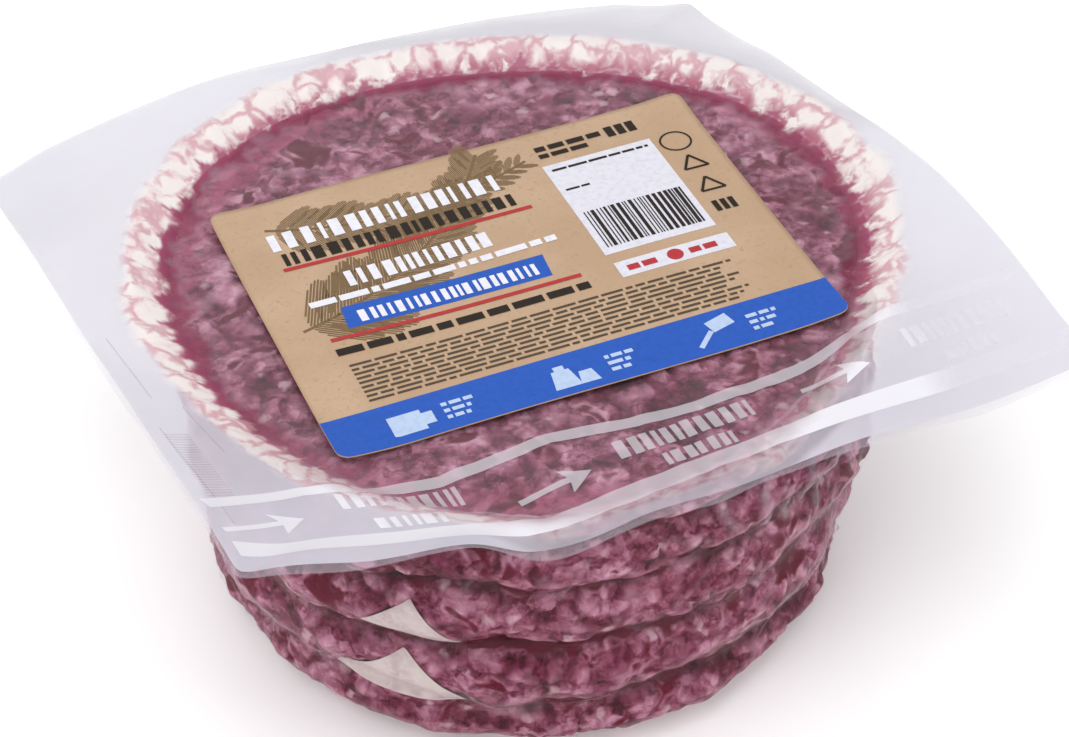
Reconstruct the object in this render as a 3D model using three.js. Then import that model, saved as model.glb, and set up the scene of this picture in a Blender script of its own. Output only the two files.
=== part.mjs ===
// A sealed pack of five round beef burgers: a clear formed film drawn tight round the stack,
// with a wide soft flange, a clear lid film over the top and a paper label on the lid.
// Millimetres, +Z up. The origin is at the centre of the flat base, on the axis of the stack.

import * as THREE from 'three';

// The stack, from the lowest burger to the highest. Drift is how far a burger lies off the
// axis, and spread is how much wider or narrower it is than the others.
const burgerRadius = 63.2;
const burgerBulge = 2.6;
const burgers = [
  { thickness: 17.5, drift: [-1.6, 1.2], spread: -3.2 },
  { thickness: 16.5, drift: [-1.6, 0.6], spread: -0.6 },
  { thickness: 14, drift: [-0.5, 0], spread: 0.5 },
  { thickness: 11, drift: [-0.9, 0.1], spread: 0.7 },
  { thickness: 11, drift: [-0.4, 0], spread: 0.2 },
];
const stackHeight = thicknessBelow(burgers.length);
const baseFlatRadius = 45;
const baseRise = 10;
const shoulderDrop = 1.6;

// The top face and the collar that rises round it to the rim. The two rings wander together.
const faceRadius = 66.2;
const faceWave = { height: 0.35, across: 88, along: 107, fadeFrom: 0.7 };
const rimRadius = 72.6;
const rimRise = 4;
const ringWaves = [
  { turns: 1, height: 2.2, start: -0.87, shift: 0 },
  { turns: 3, height: 2.2, start: 1.15, shift: 0 },
];
const rimFrontDip = { depth: 3.6, bearing: -86, flat: 14, end: 42 };
const collarFullness = 0.6;
const narrowestFlange = 3;
const lipOverhang = 0.3;
const lipDrop = 1;

// The flange: its corners, and how far its edge stands above or below the top face at each
// bearing in degrees
const flangeCorners = [
  { x: 77, y: 82 },
  { x: -82.6, y: 79 },
  { x: -82, y: -71 },
  { x: 79, y: -72 },
];
const edgeStations = [
  { bearing: -160, rise: 12 }, { bearing: -139, rise: 17 }, { bearing: -130, rise: 10.8 },
  { bearing: -121, rise: 7.2 }, { bearing: -114, rise: 0.5 }, { bearing: -107, rise: -1.2 },
  { bearing: -98, rise: 0.4 }, { bearing: -84, rise: -0.6 }, { bearing: -67, rise: 0.6 },
  { bearing: -52, rise: -1 }, { bearing: -42, rise: 0.8 }, { bearing: -28, rise: 6.2 },
  { bearing: -12, rise: 7 }, { bearing: 0, rise: 5 }, { bearing: 14, rise: 0.8 },
  { bearing: 30, rise: -3.6 }, { bearing: 38, rise: -8 }, { bearing: 47, rise: -11.5 },
  { bearing: 55, rise: -6.2 }, { bearing: 69, rise: -1.4 }, { bearing: 84, rise: 1.5 },
  { bearing: 98, rise: 3 }, { bearing: 112, rise: 4.2 }, { bearing: 122, rise: 2.6 },
  { bearing: 131, rise: -0.9 }, { bearing: 137, rise: -5 }, { bearing: 150, rise: 0 },
  { bearing: 172, rise: 5 },
];
const flangeSag = 0.42;
const flangeThickness = 0.7;
const lidThickness = 0.5;
const layerGap = 0.3;

// The label
const labelWidth = 99.5;
const labelDepth = 77;
const labelCentre = { x: -0.9, y: -0.2 };
const labelTurnDegrees = -2.5;
const labelThickness = 0.35;
const labelCornerRadius = 2.5;
const labelClearance = 0.45;
const labelCurl = { rise: 1, from: 54 };

// Waves round the stack: how many there are in a turn, how high each is, where it starts,
// and how far it is moved on from one burger to the next
const sideWaves = [
  { turns: 3, height: 0.55, start: 0, shift: 1.7 },
  { turns: 7, height: 0.4, start: 0.4, shift: 2.9 },
  { turns: 13, height: 0.3, start: 1.1, shift: 2.3 },
  { turns: 22, height: 0.25, start: 2.2, shift: 1.4 },
];
const seamWaves = [
  { turns: 2, height: 0.9, start: 0, shift: 1.3 },
  { turns: 5, height: 0.45, start: 0, shift: 2.1 },
  { turns: 11, height: 0.25, start: 0.7, shift: 1.9 },
];

// How finely the round pieces are divided
const packColumns = 88;
const labelColumns = 48;
const faceRings = [0.25, 0.5, 0.75, 1];
const bandSteps = 4;
const baseArcSteps = 4;

// One crinkle of the collar spans two columns
const crinkles = { count: packColumns / 2, depth: 0.4, changes: 5 };

const fullTurn = 2 * Math.PI;
const { degToRad, radToDeg, euclideanModulo, lerp, smoothstep } = THREE.MathUtils;

function at(angle, radius, z) {
  return new THREE.Vector3(radius * Math.cos(angle), radius * Math.sin(angle), z);
}

// Total thickness of the burgers below a level.
function thicknessBelow(level) {
  return burgers.slice(0, level).reduce((sum, burger) => sum + burger.thickness, 0);
}

// Smallest signed turn from one bearing to another, both in degrees.
function turnBetween(from, to) {
  return euclideanModulo(to - from + 180, 360) - 180;
}

// Sum of a set of waves at an angle, for one burger or seam.
function waveAt(waves, angle, level) {
  return waves.reduce((sum, wave) => {
    return sum + wave.height * Math.sin(wave.turns * angle + wave.start + wave.shift * level);
  }, 0);
}

// Height of the flange edge at a bearing: a smooth curve through the stations.
function edgeRise(angle) {
  const bearing = radToDeg(angle);
  const count = edgeStations.length;
  const station = (i) => edgeStations[(i + count) % count];
  const span = (i) => euclideanModulo(station(i + 1).bearing - station(i).bearing, 360);
  const slope = (i) => (station(i + 1).rise - station(i - 1).rise) / (span(i) + span(i - 1));
  const past = (i) => euclideanModulo(bearing - station(i).bearing, 360);
  const here = edgeStations.findIndex((_, i) => past(i) < span(i));
  const t = past(here) / span(here);
  const middle = lerp(station(here).rise, station(here + 1).rise, t * t * (3 - 2 * t));
  const leaving = t * (1 - t) * (1 - t) * span(here) * slope(here);
  const arriving = t * t * (1 - t) * span(here) * slope(here + 1);
  return middle + leaving - arriving;
}

// Distance from the stack's axis to the edge of the four-sided flange.
function flangeReach(angle) {
  const ray = new THREE.Vector2(Math.cos(angle), Math.sin(angle));
  const distances = flangeCorners.map((corner, i) => {
    const next = flangeCorners[(i + 1) % flangeCorners.length];
    const start = new THREE.Vector2(corner.x, corner.y);
    const side = new THREE.Vector2(next.x - corner.x, next.y - corner.y);
    return start.cross(side) / ray.cross(side);
  });
  return Math.min(...distances.filter((distance) => distance > 0));
}

// Even bearings all round, with the nearest one moved onto each flange corner.
function packAngles() {
  const step = fullTurn / packColumns;
  const angles = Array.from({ length: packColumns }, (_, i) => i * step);
  flangeCorners.forEach((corner) => {
    const angle = euclideanModulo(Math.atan2(corner.y, corner.x), fullTurn);
    angles[Math.round(angle / step) % packColumns] = angle;
  });
  return angles;
}

// The top surface of the contents: nearly flat, with slow waves that fade towards its edge.
function faceHeight(x, y) {
  const wave = Math.sin((fullTurn * x) / faceWave.across) * Math.cos((fullTurn * y) / faceWave.along);
  const fade = 1 - smoothstep(Math.hypot(x, y) / faceRadius, faceWave.fadeFrom, 1);
  return stackHeight + faceWave.height * wave * fade;
}

// The rim stands above the top face, except along the front, where it sinks to it.
function rimHeight(angle) {
  const offFront = Math.abs(turnBetween(rimFrontDip.bearing, radToDeg(angle)));
  const dip = 1 - smoothstep(offFront, rimFrontDip.flat, rimFrontDip.end);
  return stackHeight + rimRise - rimFrontDip.depth * dip;
}

// Radial crinkles that the tight film draws into the collar.
function crinkleHeight(angle) {
  return crinkles.depth * Math.cos(crinkles.count * angle) * Math.cos(crinkles.changes * angle);
}

// Radius of the side of one burger: swell is 0 at its seams and 1 at its middle.
function sideRadius(level, angle, swell) {
  const { drift, spread } = burgers[level];
  const offAxis = drift[0] * Math.cos(angle) + drift[1] * Math.sin(angle);
  return burgerRadius + spread + offAxis + waveAt(sideWaves, angle, level) + burgerBulge * swell;
}

// Height of the seam on top of a number of burgers, which wanders a little round the stack.
function seamHeight(level, angle) {
  const height = thicknessBelow(level);
  if (level === 0 || level === burgers.length) return height;
  return height + waveAt(seamWaves, angle, level);
}

// The rounded lower edge of the stack, from the flat base up to the side of the lowest burger.
function baseLine(angle) {
  const radius = sideRadius(0, angle, 1);
  return Array.from({ length: baseArcSteps + 1 }, (_, i) => {
    const turn = (i / baseArcSteps) * (Math.PI / 2);
    return at(angle, lerp(baseFlatRadius, radius, Math.sin(turn)), baseRise * (1 - Math.cos(turn)));
  });
}

// One upright line of points up the bulging sides of the burgers above the lowest one.
function sideLine(angle) {
  return burgers.slice(1).flatMap((_, below) => {
    const level = below + 1;
    const bottom = seamHeight(level, angle);
    const top = seamHeight(level + 1, angle);
    const seamRadius = (sideRadius(below, angle, 0) + sideRadius(level, angle, 0)) / 2;
    const line = [at(angle, seamRadius, bottom)];
    for (let i = 1; i < bandSteps; i += 1) {
      const share = i / bandSteps;
      line.push(at(angle, sideRadius(level, angle, Math.sin(Math.PI * share)), lerp(bottom, top, share)));
    }
    return line;
  });
}

// Distance from the axis to the edge of the top face.
function faceReach(angle) {
  return faceRadius + waveAt(ringWaves, angle, 0);
}

// The upper skin of the flange, from its edge inward to the rim.
function flangeLine(angle, lift) {
  const reach = flangeReach(angle);
  const innerRim = Math.min(rimRadius + waveAt(ringWaves, angle, 0), reach - narrowestFlange);
  const rim = rimHeight(angle);
  const edge = stackHeight + edgeRise(angle);
  return [
    at(angle, reach, edge + lift),
    at(angle, (reach + innerRim) / 2, lerp(rim, edge, flangeSag) + lift),
    at(angle, innerRim, rim + lift),
  ];
}

// The whole upper skin: flange and rim, the crinkled collar, then the top face.
function topLine(angle, lift) {
  const flange = flangeLine(angle, lift);
  const innerRim = Math.hypot(flange[2].x, flange[2].y);
  const slope = lerp(stackHeight, rimHeight(angle), collarFullness) + crinkleHeight(angle);
  const face = [...faceRings].reverse().map((share) => {
    const point = at(angle, share * faceReach(angle), 0);
    return point.setZ(faceHeight(point.x, point.y) + lift);
  });
  return [...flange, at(angle, (innerRim + faceReach(angle)) / 2, slope + lift), ...face];
}

// A closed skin over lines of points that run from one centre to another. Each four-sided
// patch is split along its shorter diagonal, so that parallel sheets are split alike.
function closedSkin(lines, firstCentre, lastCentre) {
  const columns = lines.length;
  const rings = lines[0].length;
  const points = [firstCentre, ...lines.flat(), lastCentre];
  const faces = [];
  const index = (ring, column) => 1 + (column % columns) * rings + ring;
  const length = (from, to) => points[from].distanceTo(points[to]);
  for (let c = 0; c < columns; c += 1) {
    faces.push(0, index(0, c + 1), index(0, c));
    for (let r = 0; r + 1 < rings; r += 1) {
      const [a, b] = [index(r, c), index(r, c + 1)];
      const [d, e] = [index(r + 1, c), index(r + 1, c + 1)];
      if (length(a, e) < length(b, d)) faces.push(a, b, e, a, e, d);
      else faces.push(a, b, d, b, e, d);
    }
    faces.push(points.length - 1, index(rings - 1, c), index(rings - 1, c + 1));
  }
  const geometry = new THREE.BufferGeometry().setFromPoints(points);
  geometry.setIndex(faces);
  geometry.computeVertexNormals();
  return geometry;
}

// Stack, formed film and flange as one sealed body.
function filmPackGeometry() {
  const lines = packAngles().map((angle) => {
    const shoulderRadius = sideRadius(burgers.length - 1, angle, 0.5);
    return [
      at(angle, baseFlatRadius / 2, 0),
      ...baseLine(angle),
      ...sideLine(angle),
      at(angle, shoulderRadius, stackHeight - shoulderDrop),
      at(angle, Math.max(faceReach(angle), shoulderRadius + lipOverhang), stackHeight - lipDrop),
      ...flangeLine(angle, -flangeThickness).reverse(),
      ...topLine(angle, 0),
    ];
  });
  return closedSkin(lines, new THREE.Vector3(), new THREE.Vector3(0, 0, faceHeight(0, 0)));
}

// The lid film, a thin sheet that follows the flange, the collar and the top face.
function lidFilmGeometry() {
  const under = layerGap;
  const over = layerGap + lidThickness;
  const lines = packAngles().map((angle) => [...topLine(angle, under).reverse(), ...topLine(angle, over)]);
  const centre = (lift) => new THREE.Vector3(0, 0, faceHeight(0, 0) + lift);
  return closedSkin(lines, centre(under), centre(over));
}

// Distance from the label's centre to its outline, a rectangle with rounded corners.
function labelReach(angle) {
  const across = Math.abs(Math.cos(angle));
  const along = Math.abs(Math.sin(angle));
  const cornerX = labelWidth / 2 - labelCornerRadius;
  const cornerY = labelDepth / 2 - labelCornerRadius;
  const straight = Math.min(labelWidth / 2 / across, labelDepth / 2 / along);
  if (straight * across < cornerX || straight * along < cornerY) return straight;
  const middle = across * cornerX + along * cornerY;
  const outside = cornerX ** 2 + cornerY ** 2 - labelCornerRadius ** 2;
  return middle + Math.sqrt(middle ** 2 - outside);
}

// Bearings round the label, the same number along each of its sides.
function labelAngles() {
  const corner = Math.atan2(labelDepth, labelWidth);
  const starts = [-corner, corner, Math.PI - corner, Math.PI + corner, fullTurn - corner];
  const steps = labelColumns / 4;
  return starts.slice(0, 4).flatMap((start, side) => {
    return Array.from({ length: steps }, (_, k) => lerp(start, starts[side + 1], k / steps));
  });
}

// A point of the label, laid on the lid film and curled up a little towards its corners.
function labelPoint(angle, share, lift) {
  const turned = at(angle + degToRad(labelTurnDegrees), share * labelReach(angle), 0);
  const x = turned.x + labelCentre.x;
  const y = turned.y + labelCentre.y;
  const curl = labelCurl.rise * smoothstep(Math.hypot(x, y), labelCurl.from, faceRadius);
  const rest = layerGap + lidThickness + labelClearance;
  return new THREE.Vector3(x, y, faceHeight(x, y) + rest + curl + lift);
}

// The label, a thin paper sheet.
function labelGeometry() {
  const lines = labelAngles().map((angle) => [
    ...faceRings.map((share) => labelPoint(angle, share, 0)),
    ...[...faceRings].reverse().map((share) => labelPoint(angle, share, labelThickness)),
  ]);
  return closedSkin(lines, labelPoint(0, 0, 0), labelPoint(0, 0, labelThickness));
}

function namedMesh(name, geometry, color, roughness) {
  const material = new THREE.MeshStandardMaterial({ color, roughness, metalness: 0 });
  const mesh = new THREE.Mesh(geometry, material);
  mesh.name = name;
  return mesh;
}

const group = new THREE.Group();
group.add(namedMesh('film_pack', filmPackGeometry(), '#8b4f5f', 0.35));
group.add(namedMesh('lid_film', lidFilmGeometry(), '#e8e8ee', 0.2));
group.add(namedMesh('label', labelGeometry(), '#c9ad8f', 0.7));

export default group;
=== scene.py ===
import math
import random

import bmesh
import bpy
import numpy as np
from mathutils import Matrix, Vector, noise


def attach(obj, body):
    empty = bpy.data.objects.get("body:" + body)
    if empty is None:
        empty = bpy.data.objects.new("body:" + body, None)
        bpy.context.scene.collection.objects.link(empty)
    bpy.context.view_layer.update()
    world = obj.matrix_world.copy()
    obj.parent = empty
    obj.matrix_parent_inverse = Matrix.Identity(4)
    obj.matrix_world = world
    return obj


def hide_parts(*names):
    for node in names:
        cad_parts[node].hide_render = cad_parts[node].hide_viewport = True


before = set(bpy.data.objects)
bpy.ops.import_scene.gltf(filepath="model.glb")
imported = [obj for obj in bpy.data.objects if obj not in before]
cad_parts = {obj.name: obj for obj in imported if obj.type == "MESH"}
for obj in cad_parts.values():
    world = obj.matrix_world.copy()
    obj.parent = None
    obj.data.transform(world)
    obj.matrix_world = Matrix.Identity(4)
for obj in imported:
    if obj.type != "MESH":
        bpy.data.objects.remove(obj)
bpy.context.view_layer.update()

# Everything below is in millimetres until a mesh is made, which is in metres.
mm = 0.001
fullTurn = 2 * math.pi

# The pack's shape, with the same sizes and rules as the solids it stands for.
packShape = {
    "burgerRadius": 63.2,
    "burgerBulge": 2.6,
    "burgers": [  # thickness, drift off the axis, and how much wider or narrower
        (17.5, (-1.6, 1.2), -3.2),
        (16.5, (-1.6, 0.6), -0.6),
        (14, (-0.5, 0), 0.5),
        (11, (-0.9, 0.1), 0.7),
        (11, (-0.4, 0), 0.2),
    ],
    "baseFlatRadius": 45,
    "baseRise": 10,
    "shoulderDrop": 1.6,
    "faceRadius": 66.2,
    "faceWave": {"height": 0.35, "across": 88, "along": 107, "fadeFrom": 0.7},
    "rimRadius": 72.6,
    "rimRise": 4,
    "ringWaves": [(1, 2.2, -0.87, 0), (3, 2.2, 1.15, 0)],  # turns, height, start, shift
    "rimFrontDip": {"depth": 3.6, "bearing": -86, "flat": 14, "end": 42},
    "narrowestFlange": 3,
    "flangeCorners": [(77, 82), (-82.6, 79), (-82, -71), (79, -72)],
    "edgeStations": [  # bearing in degrees, height above the top face
        (-160, 12), (-139, 17), (-130, 10.8), (-121, 7.2), (-114, 0.5), (-107, -1.2), (-98, 0.4),
        (-84, -0.6), (-67, 0.6), (-52, -1), (-42, 0.8), (-28, 6.2), (-12, 7), (0, 5), (14, 0.8),
        (30, -3.6), (38, -8), (47, -11.5), (55, -6.2), (69, -1.4), (84, 1.5), (98, 3), (112, 4.2),
        (122, 2.6), (131, -0.9), (137, -5), (150, 0), (172, 5),
    ],
    "cornerSoftness": 70,  # higher is sharper
    "flangeThickness": 0.7,
    "sideWaves": [(3, 0.55, 0, 1.7), (7, 0.4, 0.4, 2.9), (13, 0.3, 1.1, 2.3), (22, 0.25, 2.2, 1.4)],
    "seamWaves": [(2, 0.9, 0, 1.3), (5, 0.45, 0, 2.1), (11, 0.25, 0.7, 1.9)],
    "columns": 600,
}
thicknesses = [burger[0] for burger in packShape["burgers"]]
stackHeight = sum(thicknesses)
angles = np.arange(packShape["columns"]) * fullTurn / packShape["columns"]


def smoothStep(value, low, high):
    share = np.clip((value - low) / (high - low), 0, 1)
    return share * share * (3 - 2 * share)


def offBearing(degrees, bearing):
    return (degrees - bearing + 180) % 360 - 180


def waveAt(waves, angle, level=0):
    return sum(h * np.sin(turns * angle + start + shift * level) for turns, h, start, shift in waves)


def edgeRise(angle):
    bearings, rises = np.array(packShape["edgeStations"], float).T
    span = (np.roll(bearings, -1) - bearings) % 360
    slope = (np.roll(rises, -1) - np.roll(rises, 1)) / (span + np.roll(span, 1))
    past = (np.degrees(angle)[..., None] - bearings) % 360
    here = np.argmax(past < span, axis=-1)
    after = (here + 1) % len(bearings)
    t = np.take_along_axis(past, here[..., None], -1)[..., 0] / span[here]
    middle = rises[here] + (rises[after] - rises[here]) * t * t * (3 - 2 * t)
    leaving = t * (1 - t) ** 2 * span[here] * slope[here]
    return middle + leaving - t * t * (1 - t) * span[here] * slope[after]


def flangeReach(angle):
    # Distance to each side of the flange; a soft minimum of the four rounds the corners a little
    total = 0
    corners = packShape["flangeCorners"]
    for (x, y), (nextX, nextY) in zip(corners, corners[1:] + corners[:1]):
        dx, dy = nextX - x, nextY - y
        facing = (np.cos(angle) * dy - np.sin(angle) * dx) / (x * dy - y * dx)
        total = total + np.maximum(facing, 0) ** packShape["cornerSoftness"]
    return total ** (-1 / packShape["cornerSoftness"])


def faceReach(angle):
    return packShape["faceRadius"] + waveAt(packShape["ringWaves"], angle)


def rimReach(angle):
    widest = flangeReach(angle) - packShape["narrowestFlange"]
    return np.minimum(packShape["rimRadius"] + waveAt(packShape["ringWaves"], angle), widest)


def faceHeight(x, y):
    wave = packShape["faceWave"]
    waves = np.sin(fullTurn * x / wave["across"]) * np.cos(fullTurn * y / wave["along"])
    fade = 1 - smoothStep(np.hypot(x, y) / packShape["faceRadius"], wave["fadeFrom"], 1)
    return stackHeight + wave["height"] * waves * fade


def rimHeight(angle):
    dip = packShape["rimFrontDip"]
    offFront = np.abs(offBearing(np.degrees(angle), dip["bearing"]))
    atFront = 1 - smoothStep(offFront, dip["flat"], dip["end"])
    return stackHeight + packShape["rimRise"] - dip["depth"] * atFront


def lidHeight(angle, radius):
    # Height of the lid's surface: the top face, the collar up to the rim, then the flange
    inner, rim, reach = faceReach(angle), rimReach(angle), flangeReach(angle)
    onCollar = np.clip((radius - inner) / (rim - inner), 0, 1)
    onFlange = np.clip((radius - rim) / (reach - rim), 0, 1.1)
    collar = (rimHeight(angle) - stackHeight) * onCollar * (1.4 - 0.4 * onCollar)
    flange = (stackHeight + edgeRise(angle) - rimHeight(angle)) * onFlange ** 1.25
    return faceHeight(radius * np.cos(angle), radius * np.sin(angle)) + collar + flange


def sideRadius(level, angle, swell):
    _, (driftX, driftY), spread = packShape["burgers"][level]
    offAxis = driftX * np.cos(angle) + driftY * np.sin(angle)
    waves = waveAt(packShape["sideWaves"], angle, level)
    return packShape["burgerRadius"] + spread + offAxis + waves + packShape["burgerBulge"] * swell


def seamHeight(level, angle):
    height = sum(thicknesses[:level])
    if level in (0, len(thicknesses)):
        return height + 0 * angle
    return height + waveAt(packShape["seamWaves"], angle, level)


def noiseField(points, size, seed):
    # size is how wide a typical lump of the field is, in millimetres, along each axis
    scaled = points / np.array(size, float) + seed * 17.31
    values = [noise.noise(p) for p in scaled.reshape(-1, 3).tolist()]
    return np.array(values).reshape(points.shape[:-1])


def cellField(points, size, seed):
    # Nearest and second nearest distance to scattered cell centres, in cell widths
    scaled = points / np.array(size, float) + seed * 11.7
    pairs = [noise.voronoi(p)[0][:2] for p in scaled.reshape(-1, 3).tolist()]
    near = np.array(pairs).reshape(points.shape[:-1] + (2,))
    return near[..., 0], near[..., 1]


def neighbourMean(surface):
    # Columns run round the pack and rows run along its profile
    beside = (np.roll(surface, 1, 0) + np.roll(surface, -1, 0)) / 2
    along = surface.copy()
    along[:, 1:-1] = (surface[:, 2:] + surface[:, :-2]) / 2
    return (beside + along) / 2


def tightSkin(surface, clearance, suction, rounds):
    # A film stretched over lumps: it bridges the creases and is drawn in a little between them
    lowest = surface + clearance
    skin = lowest
    for _ in range(rounds):
        skin = np.maximum(lowest, neighbourMean(skin) - suction)
    return skin


def onCircle(angle, radius, height):
    return np.stack([radius * np.cos(angle), radius * np.sin(angle), height + 0 * radius * angle], -1)


def wrappedFaces(columns, rows, first=0):
    # Quads of a sheet whose points are stored column by column and which closes on itself
    c, r = np.meshgrid(np.arange(columns), np.arange(rows - 1), indexing="ij")
    here, beside = c * rows + r, ((c + 1) % columns) * rows + r
    return (np.stack([here, beside, beside + 1, here + 1], -1).reshape(-1, 4) + first).tolist()


def sheetFaces(columns, rows):
    # Quads of both sides of a thin sheet: its outer points column by column, then its inner points
    faces, count = [], (columns + 1) * (rows + 1)
    for i in range(columns):
        for j in range(rows):
            here = i * (rows + 1) + j
            quad = (here, here + rows + 1, here + rows + 2, here + 1)
            faces += [quad, tuple(count + k for k in quad[::-1])]
    return faces


def makePiece(name, points, faces, material, fields=None):
    mesh = bpy.data.meshes.new(name)
    mesh.from_pydata((np.asarray(points, float).reshape(-1, 3) * mm).tolist(), [], faces)
    for field, values in (fields or {}).items():
        values = np.asarray(values, np.float32)
        kind, key = ("FLOAT", "value") if values.ndim == 1 else ("FLOAT_VECTOR", "vector")
        mesh.attributes.new(field, kind, "POINT").data.foreach_set(key, values.ravel())
    mesh.shade_smooth()
    mesh.materials.append(material)
    mesh.update()
    piece = bpy.data.objects.new(name, mesh)
    bpy.context.scene.collection.objects.link(piece)
    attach(piece, "root")
    return piece


def hexColour(code):
    # sRGB hex to linear
    parts = [int(code[i:i + 2], 16) / 255 for i in (1, 3, 5)]
    return tuple(p / 12.92 if p <= 0.04045 else ((p + 0.055) / 1.055) ** 2.4 for p in parts) + (1,)


# Each kind of node used: its type, the inputs that values go to in order, its output, settings
nodeKinds = {
    "place": ("ShaderNodeTexCoord", [], "Object", {}),
    "field": ("ShaderNodeAttribute", [], "Fac", {}),
    "noise": ("ShaderNodeTexNoise", ["Vector", "Scale", "Detail", "Roughness", "Distortion"], "Fac", {}),
    "cells": ("ShaderNodeTexVoronoi", ["Vector", "Scale"], "Distance", {}),
    "split": ("ShaderNodeSeparateColor", ["Color"], "Red", {}),
    "stops": ("ShaderNodeValToRGB", ["Fac"], "Color", {}),
    "mix": ("ShaderNodeMix", [0, 6, 7], 2, {"data_type": "RGBA"}),
    "stain": ("ShaderNodeMix", [0, 6, 7], 2, {"data_type": "RGBA", "blend_type": "MULTIPLY"}),
    "ramp": ("ShaderNodeMapRange", ["Value", "From Min", "From Max", "To Min", "To Max"], "Result",
             {"interpolation_type": "SMOOTHSTEP"}),
    "plus": ("ShaderNodeMath", [0, 1], 0, {"operation": "ADD"}),
    "minus": ("ShaderNodeMath", [0, 1], 0, {"operation": "SUBTRACT"}),
    "times": ("ShaderNodeMath", [0, 1], 0, {"operation": "MULTIPLY"}),
    "over": ("ShaderNodeMath", [0, 1], 0, {"operation": "DIVIDE"}),
    "power": ("ShaderNodeMath", [0, 1], 0, {"operation": "POWER"}),
    "moved": ("ShaderNodeVectorMath", [0, 1], 0, {"operation": "ADD"}),
    "scaled": ("ShaderNodeVectorMath", [0, "Scale"], 0, {"operation": "SCALE"}),
    "facing": ("ShaderNodeLayerWeight", ["Blend", "Normal"], "Facing", {}),
    "bump": ("ShaderNodeBump", ["Height", "Distance", "Strength", "Normal"], 0, {}),
    "surface": ("ShaderNodeBsdfPrincipled",
                ["Base Color", "Roughness", "Specular IOR Level", "Normal"], 0, {}),
    "clear": ("ShaderNodeBsdfTransparent", ["Color"], 0, {}),
    "diffuse": ("ShaderNodeBsdfDiffuse", ["Color"], 0, {}),
    "translucent": ("ShaderNodeBsdfTranslucent", ["Color"], 0, {}),
    "glossy": ("ShaderNodeBsdfGlossy", ["Color", "Roughness", "Normal"], 0, {}),
    "blend": ("ShaderNodeMixShader", [0, 1, 2], 0, {}),
    "end": ("ShaderNodeOutputMaterial", ["Surface"], 0, {}),
}


def addNode(tree, kind, *values, links=None, out=None, **settings):
    # One node with its settings. A value is a number, a hex colour or another node's output.
    nodeType, inputs, output, usual = nodeKinds[kind]
    node = tree.nodes.new(nodeType)
    for key, value in {**usual, **settings}.items():
        setattr(node, key, value)
    for socket, value in [*zip(inputs, values), *(links or {}).items()]:
        if isinstance(value, bpy.types.NodeSocket):
            tree.links.new(value, node.inputs[socket])
        else:
            node.inputs[socket].default_value = hexColour(value) if isinstance(value, str) else value
    return node.outputs[output if out is None else out] if node.outputs else node


def newMaterial(name):
    material = bpy.data.materials.new(name)
    material.use_nodes = True
    material.node_tree.nodes.clear()
    return material, material.node_tree


# Raw minced beef pressed under film: wet muscle strands with pale fat between them.
# Minced through a 3 mm plate, so its grain is 2 to 4 mm; deep creases hold dark juice, and the extra
# darkening of the creases is painted shade.
beefLook = {
    "grain": [(0.25, "#6A1838"), (0.40, "#9E5872"), (0.50, "#BB8096"), (0.60, "#CE9AAE"), (0.76, "#E0BAC8")],
    "grainMm": 2.6, "patchMm": 9, "patchDark": "#B48098", "fineMm": 0.9, "wanderMm": 2.5, "wanderBy": 3,
    "granuleMm": 2.5, "granuleTone": 0.24, "granuleGapShade": 0.08,
    # low is the painted shade of the hollows, high the painted highlight on the lump tops
    "low": "#C08C9E", "high": "#D8A4B8", "paintedTopHighlightShare": 0.45, "fat": "#D6B4BE", "fatMm": 3.2, "fatShare": 0.6,
    # crease is the painted shade of the creases; pool is the colour of the juice
    "crease": "#B4607A", "creaseShadeShare": 0.7, "pool": "#600824", "poolMm": 9, "poolFrom": 0.57, "poolTo": 0.66,
    "poolInCrease": 0.22, "rosy": "#A6486A", "roughness": 0.5, "coarseBumpMm": 0.5, "fineBumpMm": 0.15,
}


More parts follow.
